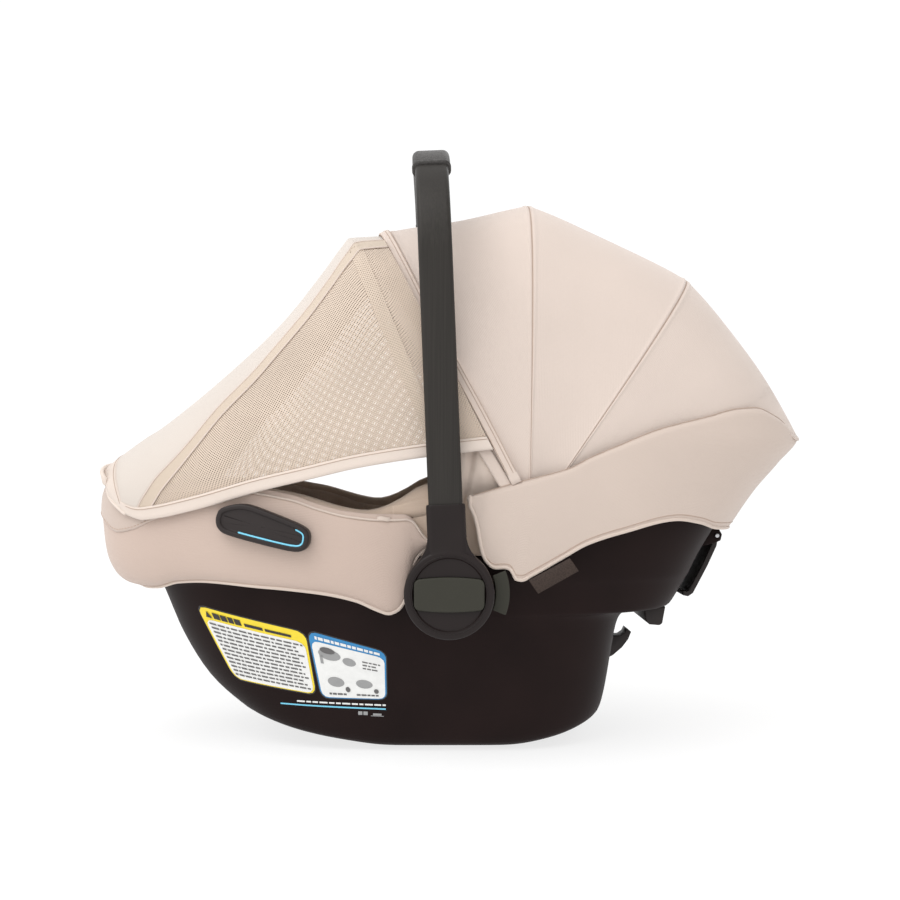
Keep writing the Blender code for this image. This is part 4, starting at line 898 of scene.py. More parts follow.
def make_sky():
    """Even light from all round, brighter from the front left than from the front right."""
    world = bpy.data.worlds.new("studio")
    world.use_nodes = True
    sky = Nodes(world.node_tree)
    spot = sky.add("SeparateXYZ", i0=sky.add("TexCoord").outputs["Generated"])
    nearer = sky.maths("SUBTRACT", 1.0, spot.outputs["Y"])
    lean = sky.maths("MULTIPLY", sky.maths("MULTIPLY", spot.outputs["X"], nearer), SKY_LEAN)
    background = sky.tree.nodes["Background"]
    background.inputs["Color"].default_value = (1.0, 1.0, 1.0, 1.0)
    sky.tree.links.new(sky.maths("SUBTRACT", SKY_LIGHT, lean), background.inputs["Strength"])
    bpy.context.scene.world = world


def make_studio():
    make_floor()
    make_sky()
    area_light("key", (-0.9, -1.3, 2.2), (0, 0, 0.25), (1.8, 1.8), 22.0)
    area_light("back", (0.6, 1.8, 1.8), (0, 0, 0.3), (1.6, 1.6), 6.0)
    bpy.context.scene.view_settings.view_transform = "Standard"


make_camera()
make_studio()


# ---- shell ----------------------------------------------------------------------------------------
CREASE_FROM, CREASE_TO = (0.0438, 0.1352), (0.0906, 0.0697)   # the faint line moulded in each side
SHELL_THICK = 0.0032
SHELL_MIDDLE = Vector((0, 0, 0.1))
# corners of the boxes cut out for the latch hook and, at y on either side, the release buttons
HOOK_SLOT = (0.120, -0.0150, 0.0450), (0.190, 0.0150, 0.1080)
STEM_SLOT = (0.0370, 0.140, 0.1455), (0.0540, 0.190, 0.1655)


def make_shell():
    rows = []
    for height, front, rear, half in SHELL_LEVELS:
        ring = plan_arc(0, 2 * math.pi, 72, front, rear, half, SHELL_POWER, closed=True)
        rows.append([(x, y, height(x) if callable(height) else height) for x, y in ring])
    shell = grid_piece("shell_body", rows, SHELL_PLASTIC, None, "shell_plastic", closed=True)
    count = len(rows[0])
    with editing(shell.data) as mesh:
        for i in range(count // 2):
            ids = dict.fromkeys((i, i + 1, (count - i - 1) % count, (count - i) % count))
            mesh.faces.new([mesh.verts[k] for k in ids])
    face_out(shell.data, SHELL_MIDDLE)
    applied(subdivide(shell, 2))
    engrave(shell.data)
    applied(thicken(shell, SHELL_THICK))
    cutters = [box_cutter(*HOOK_SLOT)]
    for _, side in SIDES:
        (x_low, y_low, z_low), (x_high, y_high, z_high) = STEM_SLOT
        y_low, y_high = sorted((side * y_low, side * y_high))
        cutters.append(box_cutter((x_low, y_low, z_low), (x_high, y_high, z_high)))
    cut(shell, *cutters)
    shade_smooth(shell, 38)
    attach(shell, "carrier")
    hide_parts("shell")
    return shell


def engrave(mesh):
    """Raises the shell's sides a little behind the crease line."""
    start, end = Vector(CREASE_FROM), Vector(CREASE_TO)
    ahead = (end - start).normalized()
    across = Vector((-ahead.y, ahead.x))
    for vert in mesh.vertices:
        if abs(vert.co.y) < 0.10:
            continue
        offset = Vector((vert.co.x, vert.co.z)) - start
        along = offset.dot(ahead) / (end - start).length
        fade = smooth_step(-0.15, 0.1, along) * (1 - smooth_step(0.85, 1.15, along))
        step = smooth_step(-0.004, 0.004, offset.dot(across))
        reach = 1 - smooth_step(0.0, 0.045, offset.dot(across))
        vert.co.y += math.copysign(0.0011 * fade * step * reach, vert.co.y)


def quad_point(corners, u, v):
    """A point of a quadrilateral (x, z): corners run round from the top left."""
    a, b, c, d = (Vector(p) for p in corners)
    return a.lerp(b, u).lerp(d.lerp(c, u), v)


def box_outline(u_from, u_to, v_from, v_to, round_u=0.0, round_v=0.0):
    """A rectangle's outline in (u, v), with its corners rounded."""
    if not round_u:
        return [(u_from, v_from), (u_to, v_from), (u_to, v_to), (u_from, v_to)]
    points = []
    for k in range(4):
        u, su = (u_to, 1) if k in (1, 2) else (u_from, -1)
        v, sv = (v_to, 1) if k in (2, 3) else (v_from, -1)
        for step in range(7):
            angle = (k + 2 + step / 6) * math.pi / 2
            points.append((u - su * round_u + round_u * math.cos(angle),
                           v - sv * round_v + round_v * math.sin(angle)))
    return points


def oval_outline(u, v, half_u, half_v):
    return [(u + half_u * math.cos(a), v + half_v * math.sin(a))
            for a in np.linspace(0, 2 * math.pi, 20, endpoint=False)]


def boxes(*sizes):
    return [box_outline(*size) for size in sizes]


def ovals(*sizes):
    return [oval_outline(*size) for size in sizes]


def film(name, corners, outlines, tree, lift, material):
    """Printed shapes on the shell's left side. outlines hold (u, v) points of the quadrilateral
    that corners span."""
    mesh = bmesh.new()
    for outline in outlines:
        middle = np.mean(outline, axis=0)
        dense = even([(*p, 0) for p in [*outline, outline[0]]], 65)[:-1, :2]
        dense = dense if len(outline) > 4 else even_corners(outline)
        rings = []
        for scale in (1.0, 0.72, 0.44, 0.16):
            ring = []
            for u, v in middle + (np.array(dense) - middle) * scale:
                x, z = quad_point(corners, u, v)
                hit, normal, _, _ = tree.ray_cast(Vector((x, -0.3, z)), Vector((0, 1, 0)))
                ring.append(mesh.verts.new(hit + normal * lift))
            rings.append(ring)
        for outer, inner in zip(rings, rings[1:]):
            for i in range(len(outer)):
                j = (i + 1) % len(outer)
                mesh.faces.new((outer[i], outer[j], inner[j], inner[i]))
        mesh.faces.new(rings[-1])
    data = bpy.data.meshes.new(name)
    mesh.to_mesh(data)
    mesh.free()
    face_out(data, SHELL_MIDDLE)
    return add_piece(name, data, material, "carrier")


def even_corners(outline, steps=5):
    """Points along a polygon's sides that keep its corners."""
    points = []
    for a, b in zip(outline, [*outline[1:], outline[0]]):
        points += [np.array(a) + (np.array(b) - np.array(a)) * k / steps for k in range(steps)]
    return points


def word_bars(lines, area, seed, height=0.42):
    """Short bars in rows that stand for lines of small print."""
    u_from, u_to, v_from, v_to = area
    step = (v_to - v_from) / lines
    bars = []
    for i in range(lines):
        u, k = u_from, 0
        while u < u_to - 0.02:
            wide = 0.022 + 0.055 * abs(math.sin(seed + 12.9898 * i + 4.1414 * k))
            end = min(u + wide, u_to - 0.03 * ((i * 5) % 3))
            if end - u > 0.012:
                v = v_from + step * (i + 0.2)
                bars.append(box_outline(u, end, v, v + step * height))
            u += wide + 0.014
            k += 1
    return bars


# corners of the two labels and the level line under them, as (x, z) from the top left round
LABEL_A_AT = ((-0.2389, 0.1384), (-0.1331, 0.1150), (-0.1240, 0.0551), (-0.2033, 0.0673))
LABEL_B_AT = ((-0.1312, 0.1171), (-0.0582, 0.0968), (-0.0576, 0.0510), (-0.1190, 0.0521))
LINE_AT = ((-0.1585, 0.0500), (-0.0586, 0.0465), (-0.0586, 0.0365), (-0.1585, 0.0400))


def make_labels(shell):
    """Two generic printed labels with bars for text, and the level line under them."""
    tree = tree_of(shell)

    def put(name, corners, outlines, layer, material):
        film(f"label_{name}", corners, outlines, tree, 0.0002 + 0.00025 * layer, material)

    put("a_edge", LABEL_A_AT, boxes((-0.012, 1.012, -0.02, 1.02, 0.09, 0.14)), 0, LABEL_BLACK)
    put("a_ground", LABEL_A_AT, boxes((0, 1, 0, 1, 0.085, 0.13)), 1, LABEL_YELLOW)
    put("a_panel", LABEL_A_AT, boxes((0.022, 0.978, 0.17, 0.985, 0.075, 0.11)), 2, LABEL_WHITE)
    put("a_print", LABEL_A_AT, word_bars(13, (0.055, 0.95, 0.20, 0.955), 1.0), 3, LABEL_INK)
    words = [(u, u_end, 0.05, 0.135) for u, u_end in
             ((0.135, 0.20), (0.21, 0.27), (0.28, 0.33), (0.34, 0.40))]
    triangle = [(0.055, 0.138), (0.085, 0.045), (0.115, 0.138)]
    heading = [*boxes(*words, (0.43, 0.60, 0.085, 0.13), (0.62, 0.86, 0.09, 0.13)), triangle]
    put("a_heading", LABEL_A_AT, heading, 3, LABEL_BLACK)
    put("b_edge", LABEL_B_AT, boxes((-0.015, 1.015, -0.02, 1.02, 0.12, 0.14)), 0, LABEL_BLACK)
    put("b_ground", LABEL_B_AT, boxes((0, 1, 0, 1, 0.11, 0.13)), 1, LABEL_BLUE)
    put("b_panel", LABEL_B_AT, boxes((0.02, 0.98, 0.135, 0.985, 0.09, 0.10)), 2, LABEL_WHITE)
    put("b_heading", LABEL_B_AT, word_bars(1, (0.08, 0.93, 0.035, 0.13), 3.0, 0.5), 3, LABEL_WHITE)
    figures = [*ovals((0.24, 0.30, 0.15, 0.09), (0.50, 0.36, 0.09, 0.07), (0.27, 0.73, 0.12, 0.08),
                      (0.68, 0.72, 0.12, 0.08)), *boxes((0.10, 0.14, 0.28, 0.46))]
    put("b_figures", LABEL_B_AT, figures, 3, LABEL_GREY)
    put("b_shade", LABEL_B_AT, ovals((0.22, 0.24, 0.10, 0.05), (0.43, 0.84, 0.035, 0.045),
                                     (0.85, 0.84, 0.035, 0.045)), 4, LABEL_INK)
    put("b_print", LABEL_B_AT, [*word_bars(3, (0.68, 0.92, 0.28, 0.46), 5.0, 0.4),
                                *word_bars(1, (0.14, 0.42, 0.90, 0.95), 6.0, 0.6),
                                *word_bars(1, (0.55, 0.88, 0.90, 0.95), 7.0, 0.6)], 3, LABEL_INK)
    put("line", LINE_AT, boxes((0, 1, 0.42, 0.56)), 1, CYAN_PLASTIC)
    put("caption", LINE_AT, word_bars(1, (0.16, 1.0, -0.02, 0.26), 8.0, 0.55), 1, LABEL_WHITE)
    put("marks", LINE_AT, boxes((0.74, 0.78, 0.80, 1.15), (0.79, 0.83, 0.80, 1.15),
                                (0.88, 0.96, 0.95, 1.15), (0.86, 0.98, 1.17, 1.23)), 1, LABEL_GREY)


# ---- outer covers ---------------------------------------------------------------------------------
HEM_R, RIM_R = 0.0017, 0.0011
BOOT_REAR, SKIRT_FRONT = -0.0125, 0.0175   # where the covers' open ends lie
PATCH_HALF, PATCH_TOP = 0.170, 0.2440
LIP_RISE = 0.0120                          # how far the toe patch stands above the rim
LOOP_X, LOOP_Z = -0.0593, 0.2225           # where the cloth loop hangs on the rim


def make_boot():
    """The foot end's cover, and its rim and hem piping."""
    height_share, front_at, half_at = columns_through(FOOT_ROWS)
    rows = []
    last = len(FOOT_ROWS) - 1
    for i in np.linspace(0, last, 46):
        front, half, share = front_at(i), half_at(i), height_share(i)
        puff = 0.0016 * math.sin(math.pi * min(max(share, 0.0), 1.0))
        turn = angle_at(BOOT_REAR, front, COVER_REAR, COVER_POWER)
        ring = plan_arc(turn, 2 * math.pi - turn, 380, front - puff, COVER_REAR, half + puff,
                        COVER_POWER)
        rows.append([(x, y, foot_hem_z(x) + share * (foot_top_z(x) - foot_hem_z(x)))
                     for x, y in ring])
    rows = rumple(rows, 0.0016, 14.0, 3.0)
    boot = grid_piece("boot", rows, BOOT_CLOTH, "carrier", thick=0.0030)
    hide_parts("foot_cover")
    hem = [(x, y, z - 0.0006) for x, y, z in rows[6]]
    rim = [Vector(p) + Vector(n) * 0.0002 for p, n in zip(rows[40], grid_normals(rows)[40])]
    hem_pipe = tube_piece("boot_hem", hem, HEM_R, PIPING_CLOTH, "carrier")
    rim_pipe = tube_piece("boot_piping", rim, RIM_R, PIPING_CLOTH, "carrier")
    tree = tree_of(boot)
    # sewn lines, darkened to paint in the shade of their grooves
    seam_line("boot_hem_line", rows[8][2:-2], tree, "carrier")
    seam_line("boot_rim_line", rows[39][2:-2], tree, "carrier")
    return boot, rows


patch_low_z = smooth_through([(0.0, 0.2260), (0.45, 0.2220), (0.62, 0.2140), (0.74, 0.2066),
                              (0.83, 0.2100), (0.90, 0.2190), (1.0, 0.2350)])


def make_toe_patch(boot):
    """The stitched cloth pocket on the boot's nose. Its lip stands above the rim and holds the
    sunshade's front."""
    tree = tree_of(boot)
    shares = np.linspace(-1, 1, 121)
    sewn = []
    for v in np.linspace(0, 1, 26):
        row = []
        for a in shares:
            x, _ = plan_point(math.asin(abs(a) ** 1.7 * 0.88) + math.pi, -0.3500, COVER_REAR, 0.18,
                              COVER_POWER)
            spot = Vector((x, a * PATCH_HALF, PATCH_TOP - v * (PATCH_TOP - patch_low_z(abs(a)))))
            found, normal, _, _ = tree.find_nearest(spot)
            edge = min(1 - abs(a), 1 - v) / 0.04
            row.append(found + normal * (0.0006 + 0.0009 * smooth_step(0, 1, edge)))
        sewn.append(row)
    top = np.array([tuple(p) for p in sewn[0]])
    for _ in range(30):
        top[1:-1] = (top[:-2] + 2 * top[1:-1] + top[2:]) / 4
    rise = LIP_RISE * (1 - np.array([smooth_step(0.60, 0.86, abs(a)) for a in shares]))[:, None]
    inwards = -top * (1, 1, 0) / np.linalg.norm(top[:, :2], axis=1, keepdims=True)
    lip = [top + rise * (0, 0, w) + inwards * rise * 0.62 * w * w
           for w in np.linspace(1, 0, 12)[:-1]]
    rows = [*[list(row) for row in lip], *sewn]
    patch = grid_piece("toe_patch", rows, PATCH_CLOTH, "carrier", thick=0.0010)
    stitches("toe_patch_stitches", rows[-3][2:-2], tree_of(patch), THREAD, "carrier")


def make_rim_loop(rows):
    """The small cloth loop that hangs over the rim's piping on each side."""
    for name, side in SIDES:
        base = Vector(min((p for row in rows[38:44] for p in row), key=lambda p: abs(
            p[0] - LOOP_X) + abs(p[2] - LOOP_Z) + (p[1] * side < 0)))
        path = []
        for t in np.linspace(0, 1, 15):
            along = (t - 0.5) * 0.0120
            rise = 0.0018 * math.sin(math.pi * t) ** 0.5
            path.append(base + Vector((along, side * (0.0004 + rise), 0.0006 * math.sin(6 * t))))
        sweep_piece(f"rim_loop_{name}", path, (0, 0, 1), rounded_profile(0.0038, 0.0009, 0.0004, 3),
                    PIPING_CLOTH, "carrier")


def make_skirt():
    """The head end's cover, between the canopy's seam and its piped hem."""
    limit = angle_at(SKIRT_FRONT, COVER_FRONT, COVER_REAR, COVER_POWER)
    rows = []
    for share in np.linspace(0, 1, 44):
        row = []
        for angle in even_angles(-limit, limit, 271, SKIRT_HALF):
            x, y, z = skirt_point(angle, share)
            roll = -0.0035 * (smooth_step(0.955, 1.0, share)) ** 1.5
            puff = 0.0012 * math.sin(math.pi * share)
            out = Vector((x * 0.6, y, 0)).normalized() * (roll + puff)
            row.append((x + out.x, y + out.y, z))
        rows.append(row)
    rows = rumple(rows, 0.0018, 11.0, 7.0)
    skirt = grid_piece("skirt", rows, SKIRT_CLOTH, "carrier", thick=0.0022)
    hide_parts("head_skirt")
    edge = [row[1] for row in rows[:0:-1]] + list(rows[0][1:-1]) + [row[-2] for row in rows[1:]]
    hem_pipe = tube_piece("skirt_hem", even(edge, 420), HEM_R, PIPING_CLOTH, "carrier")
    tree = tree_of(skirt)
    # dark sewn lines: thread, with the shade of the groove above the hem and of the crease at the top seam
    # painted in
    seam_line("skirt_hem_line", rows[2][5:-5], tree, "carrier")
    seam_line("skirt_top_line", rows[-1][2:-2], tree, "carrier", 0.0005)


# ---- canopy ---------------------------------------------------------------------------------------
SAG, SIDE_SAG = 0.0095, 0.0030
CLOTH_OUT = 0.0060          # how far outside a bow's half width the cloth lies
TUCK = -0.0070              # how far the cloth runs down inside the skirt
TAIL_END = (15.8, 0.2838, 0.1760)
# how far the canopy's front edge bends back towards its feet
front_lean = smooth_through([(0.24, 0.0065), (0.30, 0.0050), (0.42, 0.0), (0.55, 0.0)])


def seam_shape(distance):
    """The height of the cloth near a bow: a narrow groove at the seam and a ridge beside it."""
    return (-0.0009 * math.exp(-(distance / 0.0007) ** 2)
            + 0.0008 * math.exp(-((distance - 0.0032) / 0.0019) ** 2))


def panel_rows(start, end, steps=52, count=171):
    """Rows of points of the cloth between two bows, each (degrees, radius, half width)."""
    span = math.radians(abs(start[0] - end[0])) * (start[1] + end[1]) / 2
    near_edges = [0.0, 0.0006, 0.0012, 0.0020, 0.0030, 0.0042, 0.0058, 0.0080]
    places = sorted(set([d / span for d in near_edges] + [1 - d / span for d in near_edges]
                        + list(np.linspace(0.0080 / span, 1 - 0.0080 / span, steps))))
    rows = []
    for t in places:
        degrees, radius, half = (a + (b - a) * t for a, b in zip(start, end))
        seam = seam_shape(t * span) + seam_shape((1 - t) * span)
        radius += seam - SAG * math.sin(math.pi * t)
        half += CLOTH_OUT + seam - SIDE_SAG * math.sin(math.pi * t)
        theta = math.radians(degrees)
        path = arch_path(theta, radius, half, cloth_foot(theta, TUCK), count)
        lean = smooth_step(104.0, 116.0, degrees)
        rows.append([(x + lean * front_lean(z), y, z) for x, y, z in path])
    return rows, places


def fan(piece, start, end):
    """Spreads a blended panel between its two bows by the angle about the canopy's pivot."""
    low, high = math.radians(start), math.radians(end)
    weights = []
    for vert in piece.data.vertices:
        angle = math.atan2(vert.co.z - CANOPY_Z, vert.co.x - CANOPY_X)
        weights.append(min(max((angle - low) / (high - low), 0.0), 1.0))
    piece.data.attributes["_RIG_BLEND"].data.foreach_set("value", weights)


def bow_frame(name, ahead=0.0):
    """A bow's angle, radius, half width and the direction of the cloth that crosses it."""
    degrees, radius, half = BOWS[name]
    theta = math.radians(degrees + ahead)
    return theta, radius, half, (math.sin(theta), 0, -math.cos(theta))


def bow_top(name):
    theta, radius, _, _ = bow_frame(name)
    return CANOPY_X + radius * math.cos(theta), 0, CANOPY_Z + radius * math.sin(theta)


# piece: (first bow, last bow, first body, last body, flat width, length and area, noise seed)
PANELS = {
    "canopy_front_cloth": ("front", "middle", "front_bow", "middle_bow", (0.90, 0.142, 0.079),
                           21.0),
    "canopy_middle_cloth": ("middle", "rear", "middle_bow", "rear_bow", (0.86, 0.175, 0.093),
                            22.0),
    "canopy_rear_cloth": ("rear", "tail", "rear_bow", "carrier", (0.75, 0.175, 0.075), 23.0),
}


def make_canopy():
    for name, (first, last, body_a, body_b, flat, seed) in PANELS.items():
        start, end = BOWS[first], TAIL_END if last == "tail" else BOWS[last]
        rows, places = panel_rows(start, end)
        ease = [math.sin(math.pi * t) for t in places]
        soft = rumple(rows, 1.0, 12.0, seed) - np.array(rows)
        rows = np.array(rows) + soft * 0.0016 * np.array(ease)[:, None, None]
        panel = applied(grid_piece(name, rows, CANOPY_CLOTH, None, thick=0.0016))
        shade_smooth(panel)
        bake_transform(panel, body_a, body_b, start=bow_top(first), end=bow_top(last))
        fan(panel, start[0], end[0])
        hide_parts(name.replace("_cloth", "_panel"))


def make_seam_tapes():
    """A dark line in each groove between two panels, the thread with the groove's shade painted in, and the
    tape behind it.
    """
    for name in ("middle", "rear"):
        theta, radius, half, across = bow_frame(name)
        foot = cloth_foot(theta, TUCK)
        path = arch_path(theta, radius - 0.0022, half + CLOTH_OUT - 0.0021, foot, 171)
        sweep_piece(f"seam_tape_{name}", path, across, rounded_profile(0.0090, 0.0008, 0.0003, 2),
                    TRIM_CLOTH, f"{name}_bow")
        path = arch_path(theta, radius - 0.0004, half + CLOTH_OUT - 0.0004, foot, 220)
        tube_piece(f"seam_thread_and_shade_{name}", path, 0.00045, SEAM_THREAD_AND_SHADE, f"{name}_bow", sides=6)


def make_front_binding():
    """The narrow bound edge along the canopy's front bow, with a sewn line each side, darkened to paint in
    the shade of its groove.
    """
    theta, radius, half, across = bow_frame("front", 0.85)
    path = [Vector((x + front_lean(z), y, z)) for x, y, z in
            arch_path(theta, radius + 0.0016, half + CLOTH_OUT + 0.0016, cloth_foot(theta), 170)]
    binding = sweep_piece("canopy_binding", path, across, rounded_profile(0.0094, 0.0026, 0.0012, 5),
                          TRIM_CLOTH, "front_bow")
    tree = tree_of(binding)
    for name, shift in (("front", -0.0042), ("middle", 0.0012), ("back", 0.0046)):
        line = [p + Vector(across) * shift for p in path[2:-2]]
        line = [p + Vector((0, math.copysign(0.003, p.y) if abs(p.y) > 0.1 else 0, 0)) for p in line]
        seam_line(f"binding_line_{name}", line, tree, "front_bow")


# ---- sunshade -------------------------------------------------------------------------------------
def shade_rows(stations, turns_at, out=0.0, count=60):
    return [even([shade_point(s, t, out) for t in np.linspace(*turns_at(s), 90)], count)
            for s in stations]


def seam_turn(station):
    return shade_turn(station, shade_seam(station)) if station < MESH_END else 0.0


PLEAT_RISE, PLEAT_AT = 0.0007, (6.46, 6.56)    # where the stiffener begins under the top's cloth
TAPE_WIDE, TAPE_FLARE, TAPE_OUT = 0.0085, 0.0035, 0.0009


def make_shade():
    """The pull-out sunshade: a cloth top, mesh sides, and their seams and stripes."""
    shade = []
    stations = np.concatenate([np.linspace(0, 6.6, 84), np.linspace(6.63, 7.6, 30),
                               np.linspace(7.7, SHADE_LAST - 0.6, 26)])
    top = shade_rows(stations, lambda s: (seam_turn(s), math.pi - seam_turn(s)), count=121)
    top = np.array(top) + grid_normals(top) * (
        PLEAT_RISE * np.array([smooth_step(*PLEAT_AT, s) for s in stations]))[:, None, None]
    top = rumple(top, 0.0014, 13.0, 31.0)
    crown = grid_piece("shade_top", top, SHADE_CLOTH, None, "shade_cloth", 0.0012)
    shade.append(crown)
    for name, side in SIDES:
        net_stations = np.linspace(0, MESH_END - 0.05, 110)
        net = np.array(shade_rows(net_stations, lambda s: (0.0, seam_turn(s)), count=46)) * (1, -side, 1)
        panel = grid_piece(f"shade_net_{name}", net, NET_CLOTH, None, "shade_cloth")
        shade.append(panel)
        shade += make_shade_seam(name, side)
        shade.append(make_shade_stripe(name, side, tree_of(panel)))
    for part in shade:
        hang_shade(part)
    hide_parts("sunshade")


def make_shade_seam(name, side):
    """The taped seam between the mesh and the top panel: a flat strip with a cord at each edge."""
    rows = []
    for station in np.linspace(0, MESH_END - 0.14, 200):
        wide = TAPE_WIDE + TAPE_FLARE * smooth_step(5.8, 6.8, station)
        lower = max(shade_seam(station) - wide / shade_rise(station), 0.0)
        high, low = (shade_spot(station, turn, side, TAPE_OUT)
                     for turn in (seam_turn(station), shade_turn(station, lower)))
        rows.append([high + (low - high) * t for t in np.linspace(0, 1, 5)])
    made = [grid_piece(f"shade_seam_{name}", rows, TAPE_CLOTH, None, "shade_cloth")]
    for label, column in (("upper", 0), ("lower", 4)):
        made.append(tube_piece(f"shade_cord_{label}_{name}", even([row[column] for row in rows], 180),
                               0.0008, TRIM_CLOTH, None, "shade_cloth", sides=8))
    return made


# where the middle of the sunshade's stripe passes, as (x, z), from the hem up
STRIPE_LOW, STRIPE_HIGH, STRIPE_WIDE = Vector((-0.0085, 0.2850)), Vector((-0.0885, 0.4780)), 0.0130


def make_shade_stripe(name, side, tree):
    """The doubled mesh over the sunshade's bow, from the hem up to the crown's seam."""
    ahead = (STRIPE_HIGH - STRIPE_LOW).normalized()
    across = Vector((ahead.y, -ahead.x))
    rows = []
    for u in np.linspace(0, 1, 60):
        row = []
        for k in np.linspace(-0.5, 0.5, 8):
            x, z = STRIPE_LOW.lerp(STRIPE_HIGH, u) + across * STRIPE_WIDE * k
            spot = tree.ray_cast(Vector((x, side * 0.4, z)), Vector((0, -side, 0)))[0]
            if spot is None:
                spot = Vector(rows[-1][len(row)]) if rows else Vector((x, side * 0.19, z))
            row.append(spot + Vector((0, side * 0.0008, 0)))
        rows.append(row)
    return grid_piece(f"shade_stripe_{name}", rows, STRIPE_CLOTH, None, "shade_cloth")


RETRACT_ALONG = np.array((0.235, 0.251)) / math.hypot(0.235, 0.251)   # (x, z) the hem slides


def gather_shares():
    """For stations along the sunshade: the arch's ends, and how far it moves with the hem."""
    stations = np.linspace(0, SHADE_LAST, 241)
    hems = np.array([(shade_hem_x(s), shade_hem_z(shade_hem_x(s))) for s in stations])
    crowns = np.array([(shade_crown_x(s), shade_crown_z(shade_crown_x(s))) for s in stations])
    reach = -crowns @ RETRACT_ALONG
    start, end = np.interp((1.0, FRONT_FROM), stations, reach)
    return hems, crowns, np.clip((reach - start) / (end - start), 0.0, 1.0)


def hang_shade(part):
    """Makes a piece of the sunshade gather at the bow as the hem slides back to it."""
    if part.modifiers:
        shade_smooth(applied(part))
    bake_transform(part, "sunshade_bow", "sunshade_hem", start=(-0.0968, 0, 0.4940),
             end=(-0.3440, 0, 0.2629))
    hems, crowns, shares = gather_shares()
    points = np.array([(v.co.x, v.co.z) for v in part.data.vertices])
    rise, offset = crowns - hems, points[:, None, :] - hems[None, :, :]
    ahead = rise[None, :, 0] * offset[:, :, 1] - rise[None, :, 1] * offset[:, :, 0]
    last = np.clip((ahead > 0).sum(axis=1), 1, len(hems) - 1)
    rows = np.arange(len(points))
    before, after = ahead[rows, last - 1], ahead[rows, last]
    part_way = np.clip(before / np.maximum(before - after, 1e-12), 0.0, 1.0)
    weights = shares[last - 1] + (shares[last] - shares[last - 1]) * part_way
    part.data.attributes["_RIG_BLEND"].data.foreach_set("value", weights.astype(np.float32))


BAND_WIDE, BAND_BULGE, FRONT_EDGE_R = 0.0112, 0.0012, 0.0020
BAND_END, FRONT_FROM = 8.3, 7.65   # stations


def make_side_band(name, side):
    """The cream band along the sunshade's hem on one side, and its sewn line, darkened to paint in the shade
    of its groove.
    """
    rows = []
    for station in np.linspace(0, BAND_END, 150):
        share = min(0.5, BAND_WIDE / shade_rise(station))
        low, high = (shade_spot(station, turn, side) for turn in (0.0, shade_turn(station, share)))
        fade = 1 - smooth_step(BAND_END - 1.2, BAND_END, station)
        row = []
        for u in np.linspace(-0.04, 1.0, 12):
            bulge = BAND_BULGE * (1 - (2 * u - 1) ** 6) if 0 < u < 1 else 0.0
            out = 0.0004 + (0.0010 + bulge) * fade
            row.append(low + (high - low) * u + (0, side * out, 0))
        rows.append(row)
    band = grid_piece(f"shade_band_{name}", rows, BAND_CLOTH, None, thick=0.0012)
    hang_shade(band)
    line = [row[9] for row in rows[:-14]]
    hang_shade(seam_line(f"shade_band_line_{name}", line, tree_of(band), None))


def make_shade_hem():
    """The band round the sunshade's lower edge, and the stiffened front of it."""
    for name, side in SIDES:
        make_side_band(name, side)
    rows = shade_rows(np.linspace(FRONT_FROM, SHADE_LAST, 34), lambda s: (0.0, math.pi), 0.0010, 121)
    front = grid_piece("shade_front", rows, BAND_CLOTH, "sunshade_hem", thick=0.0018)
    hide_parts("sunshade_hem")
    sides = [shade_point(s, 0.0) for s in np.linspace(FRONT_FROM, SHADE_LAST, 60)[:-1]]
    path = [*sides, *rows[-1], *[(x, -y, z) for x, y, z in sides[::-1]]]
    tube_piece("shade_front_edge", even(path, 240), FRONT_EDGE_R, BAND_CLOTH, "sunshade_hem")
    tree = tree_of(front)
    seam_line("shade_front_line", rows[1][3:-3], tree, "sunshade_hem")
    seam_line("shade_edge_line", rows[27][3:-3], tree, "sunshade_hem")


# ---- carry handle ---------------------------------------------------------------------------------
ARM_WIDE, ARM_THICK, ARM_CORNER = 0.0305, 0.0120, 0.0040
GRIP_WIDE, GRIP_THICK, GRIP_CORNER = 0.0350, 0.0165, 0.0065
SLEEVE_CORNER = 0.0050
DISH_R, DISH_DEEP, BEAD_R, HUB_EDGE = 0.0325, 0.0020, 0.0345, 0.0032
WELL_FLOOR, BUTTON_BACK, BUTTON_FACE = HUB_IN + 0.0120, HUB_IN + 0.0178, HUB_OUT + 0.0015
TAB_IN, TAB_OUT, TAB_SPREAD = 0.0418, 0.0545, math.radians(21.5)   # the release button's arc
TAB_BACK, TAB_FACE = 0.1920, 0.1952
BUTTON_SHAPE = (0.0312, 0.0140, 0.0016, 0.0055)   # half wide, half high, bulge, corner radius


def handle_path(angle_from, angle_to, side, steps):
    rise = HANDLE_REACH - CORNER_R
    return [in_handle((0, side * (ARM_Y - CORNER_R * (1 - math.cos(a))),
                       rise + CORNER_R * math.sin(a)))
            for a in np.linspace(angle_from, angle_to, steps)]


def in_handle_x():
    return in_handle((1, 0, 0)) - in_handle((0, 0, 0))


def make_arms():
    profile = rounded_profile(ARM_WIDE, ARM_THICK, ARM_CORNER, 10)
    for name, side in SIDES:
        path = [in_handle((0, side * ARM_Y, z)) for z in np.linspace(0.046, 0.300, 20)]
        path += handle_path(0, GRIP_FROM - 0.010, side, 48)[1:]
        arm = sweep_piece(f"arm_{name}", path, in_handle_x(), profile, ARM_METAL, "handle")
        shade_smooth(arm, 40)
        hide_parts(f"handle_arm_{name}")


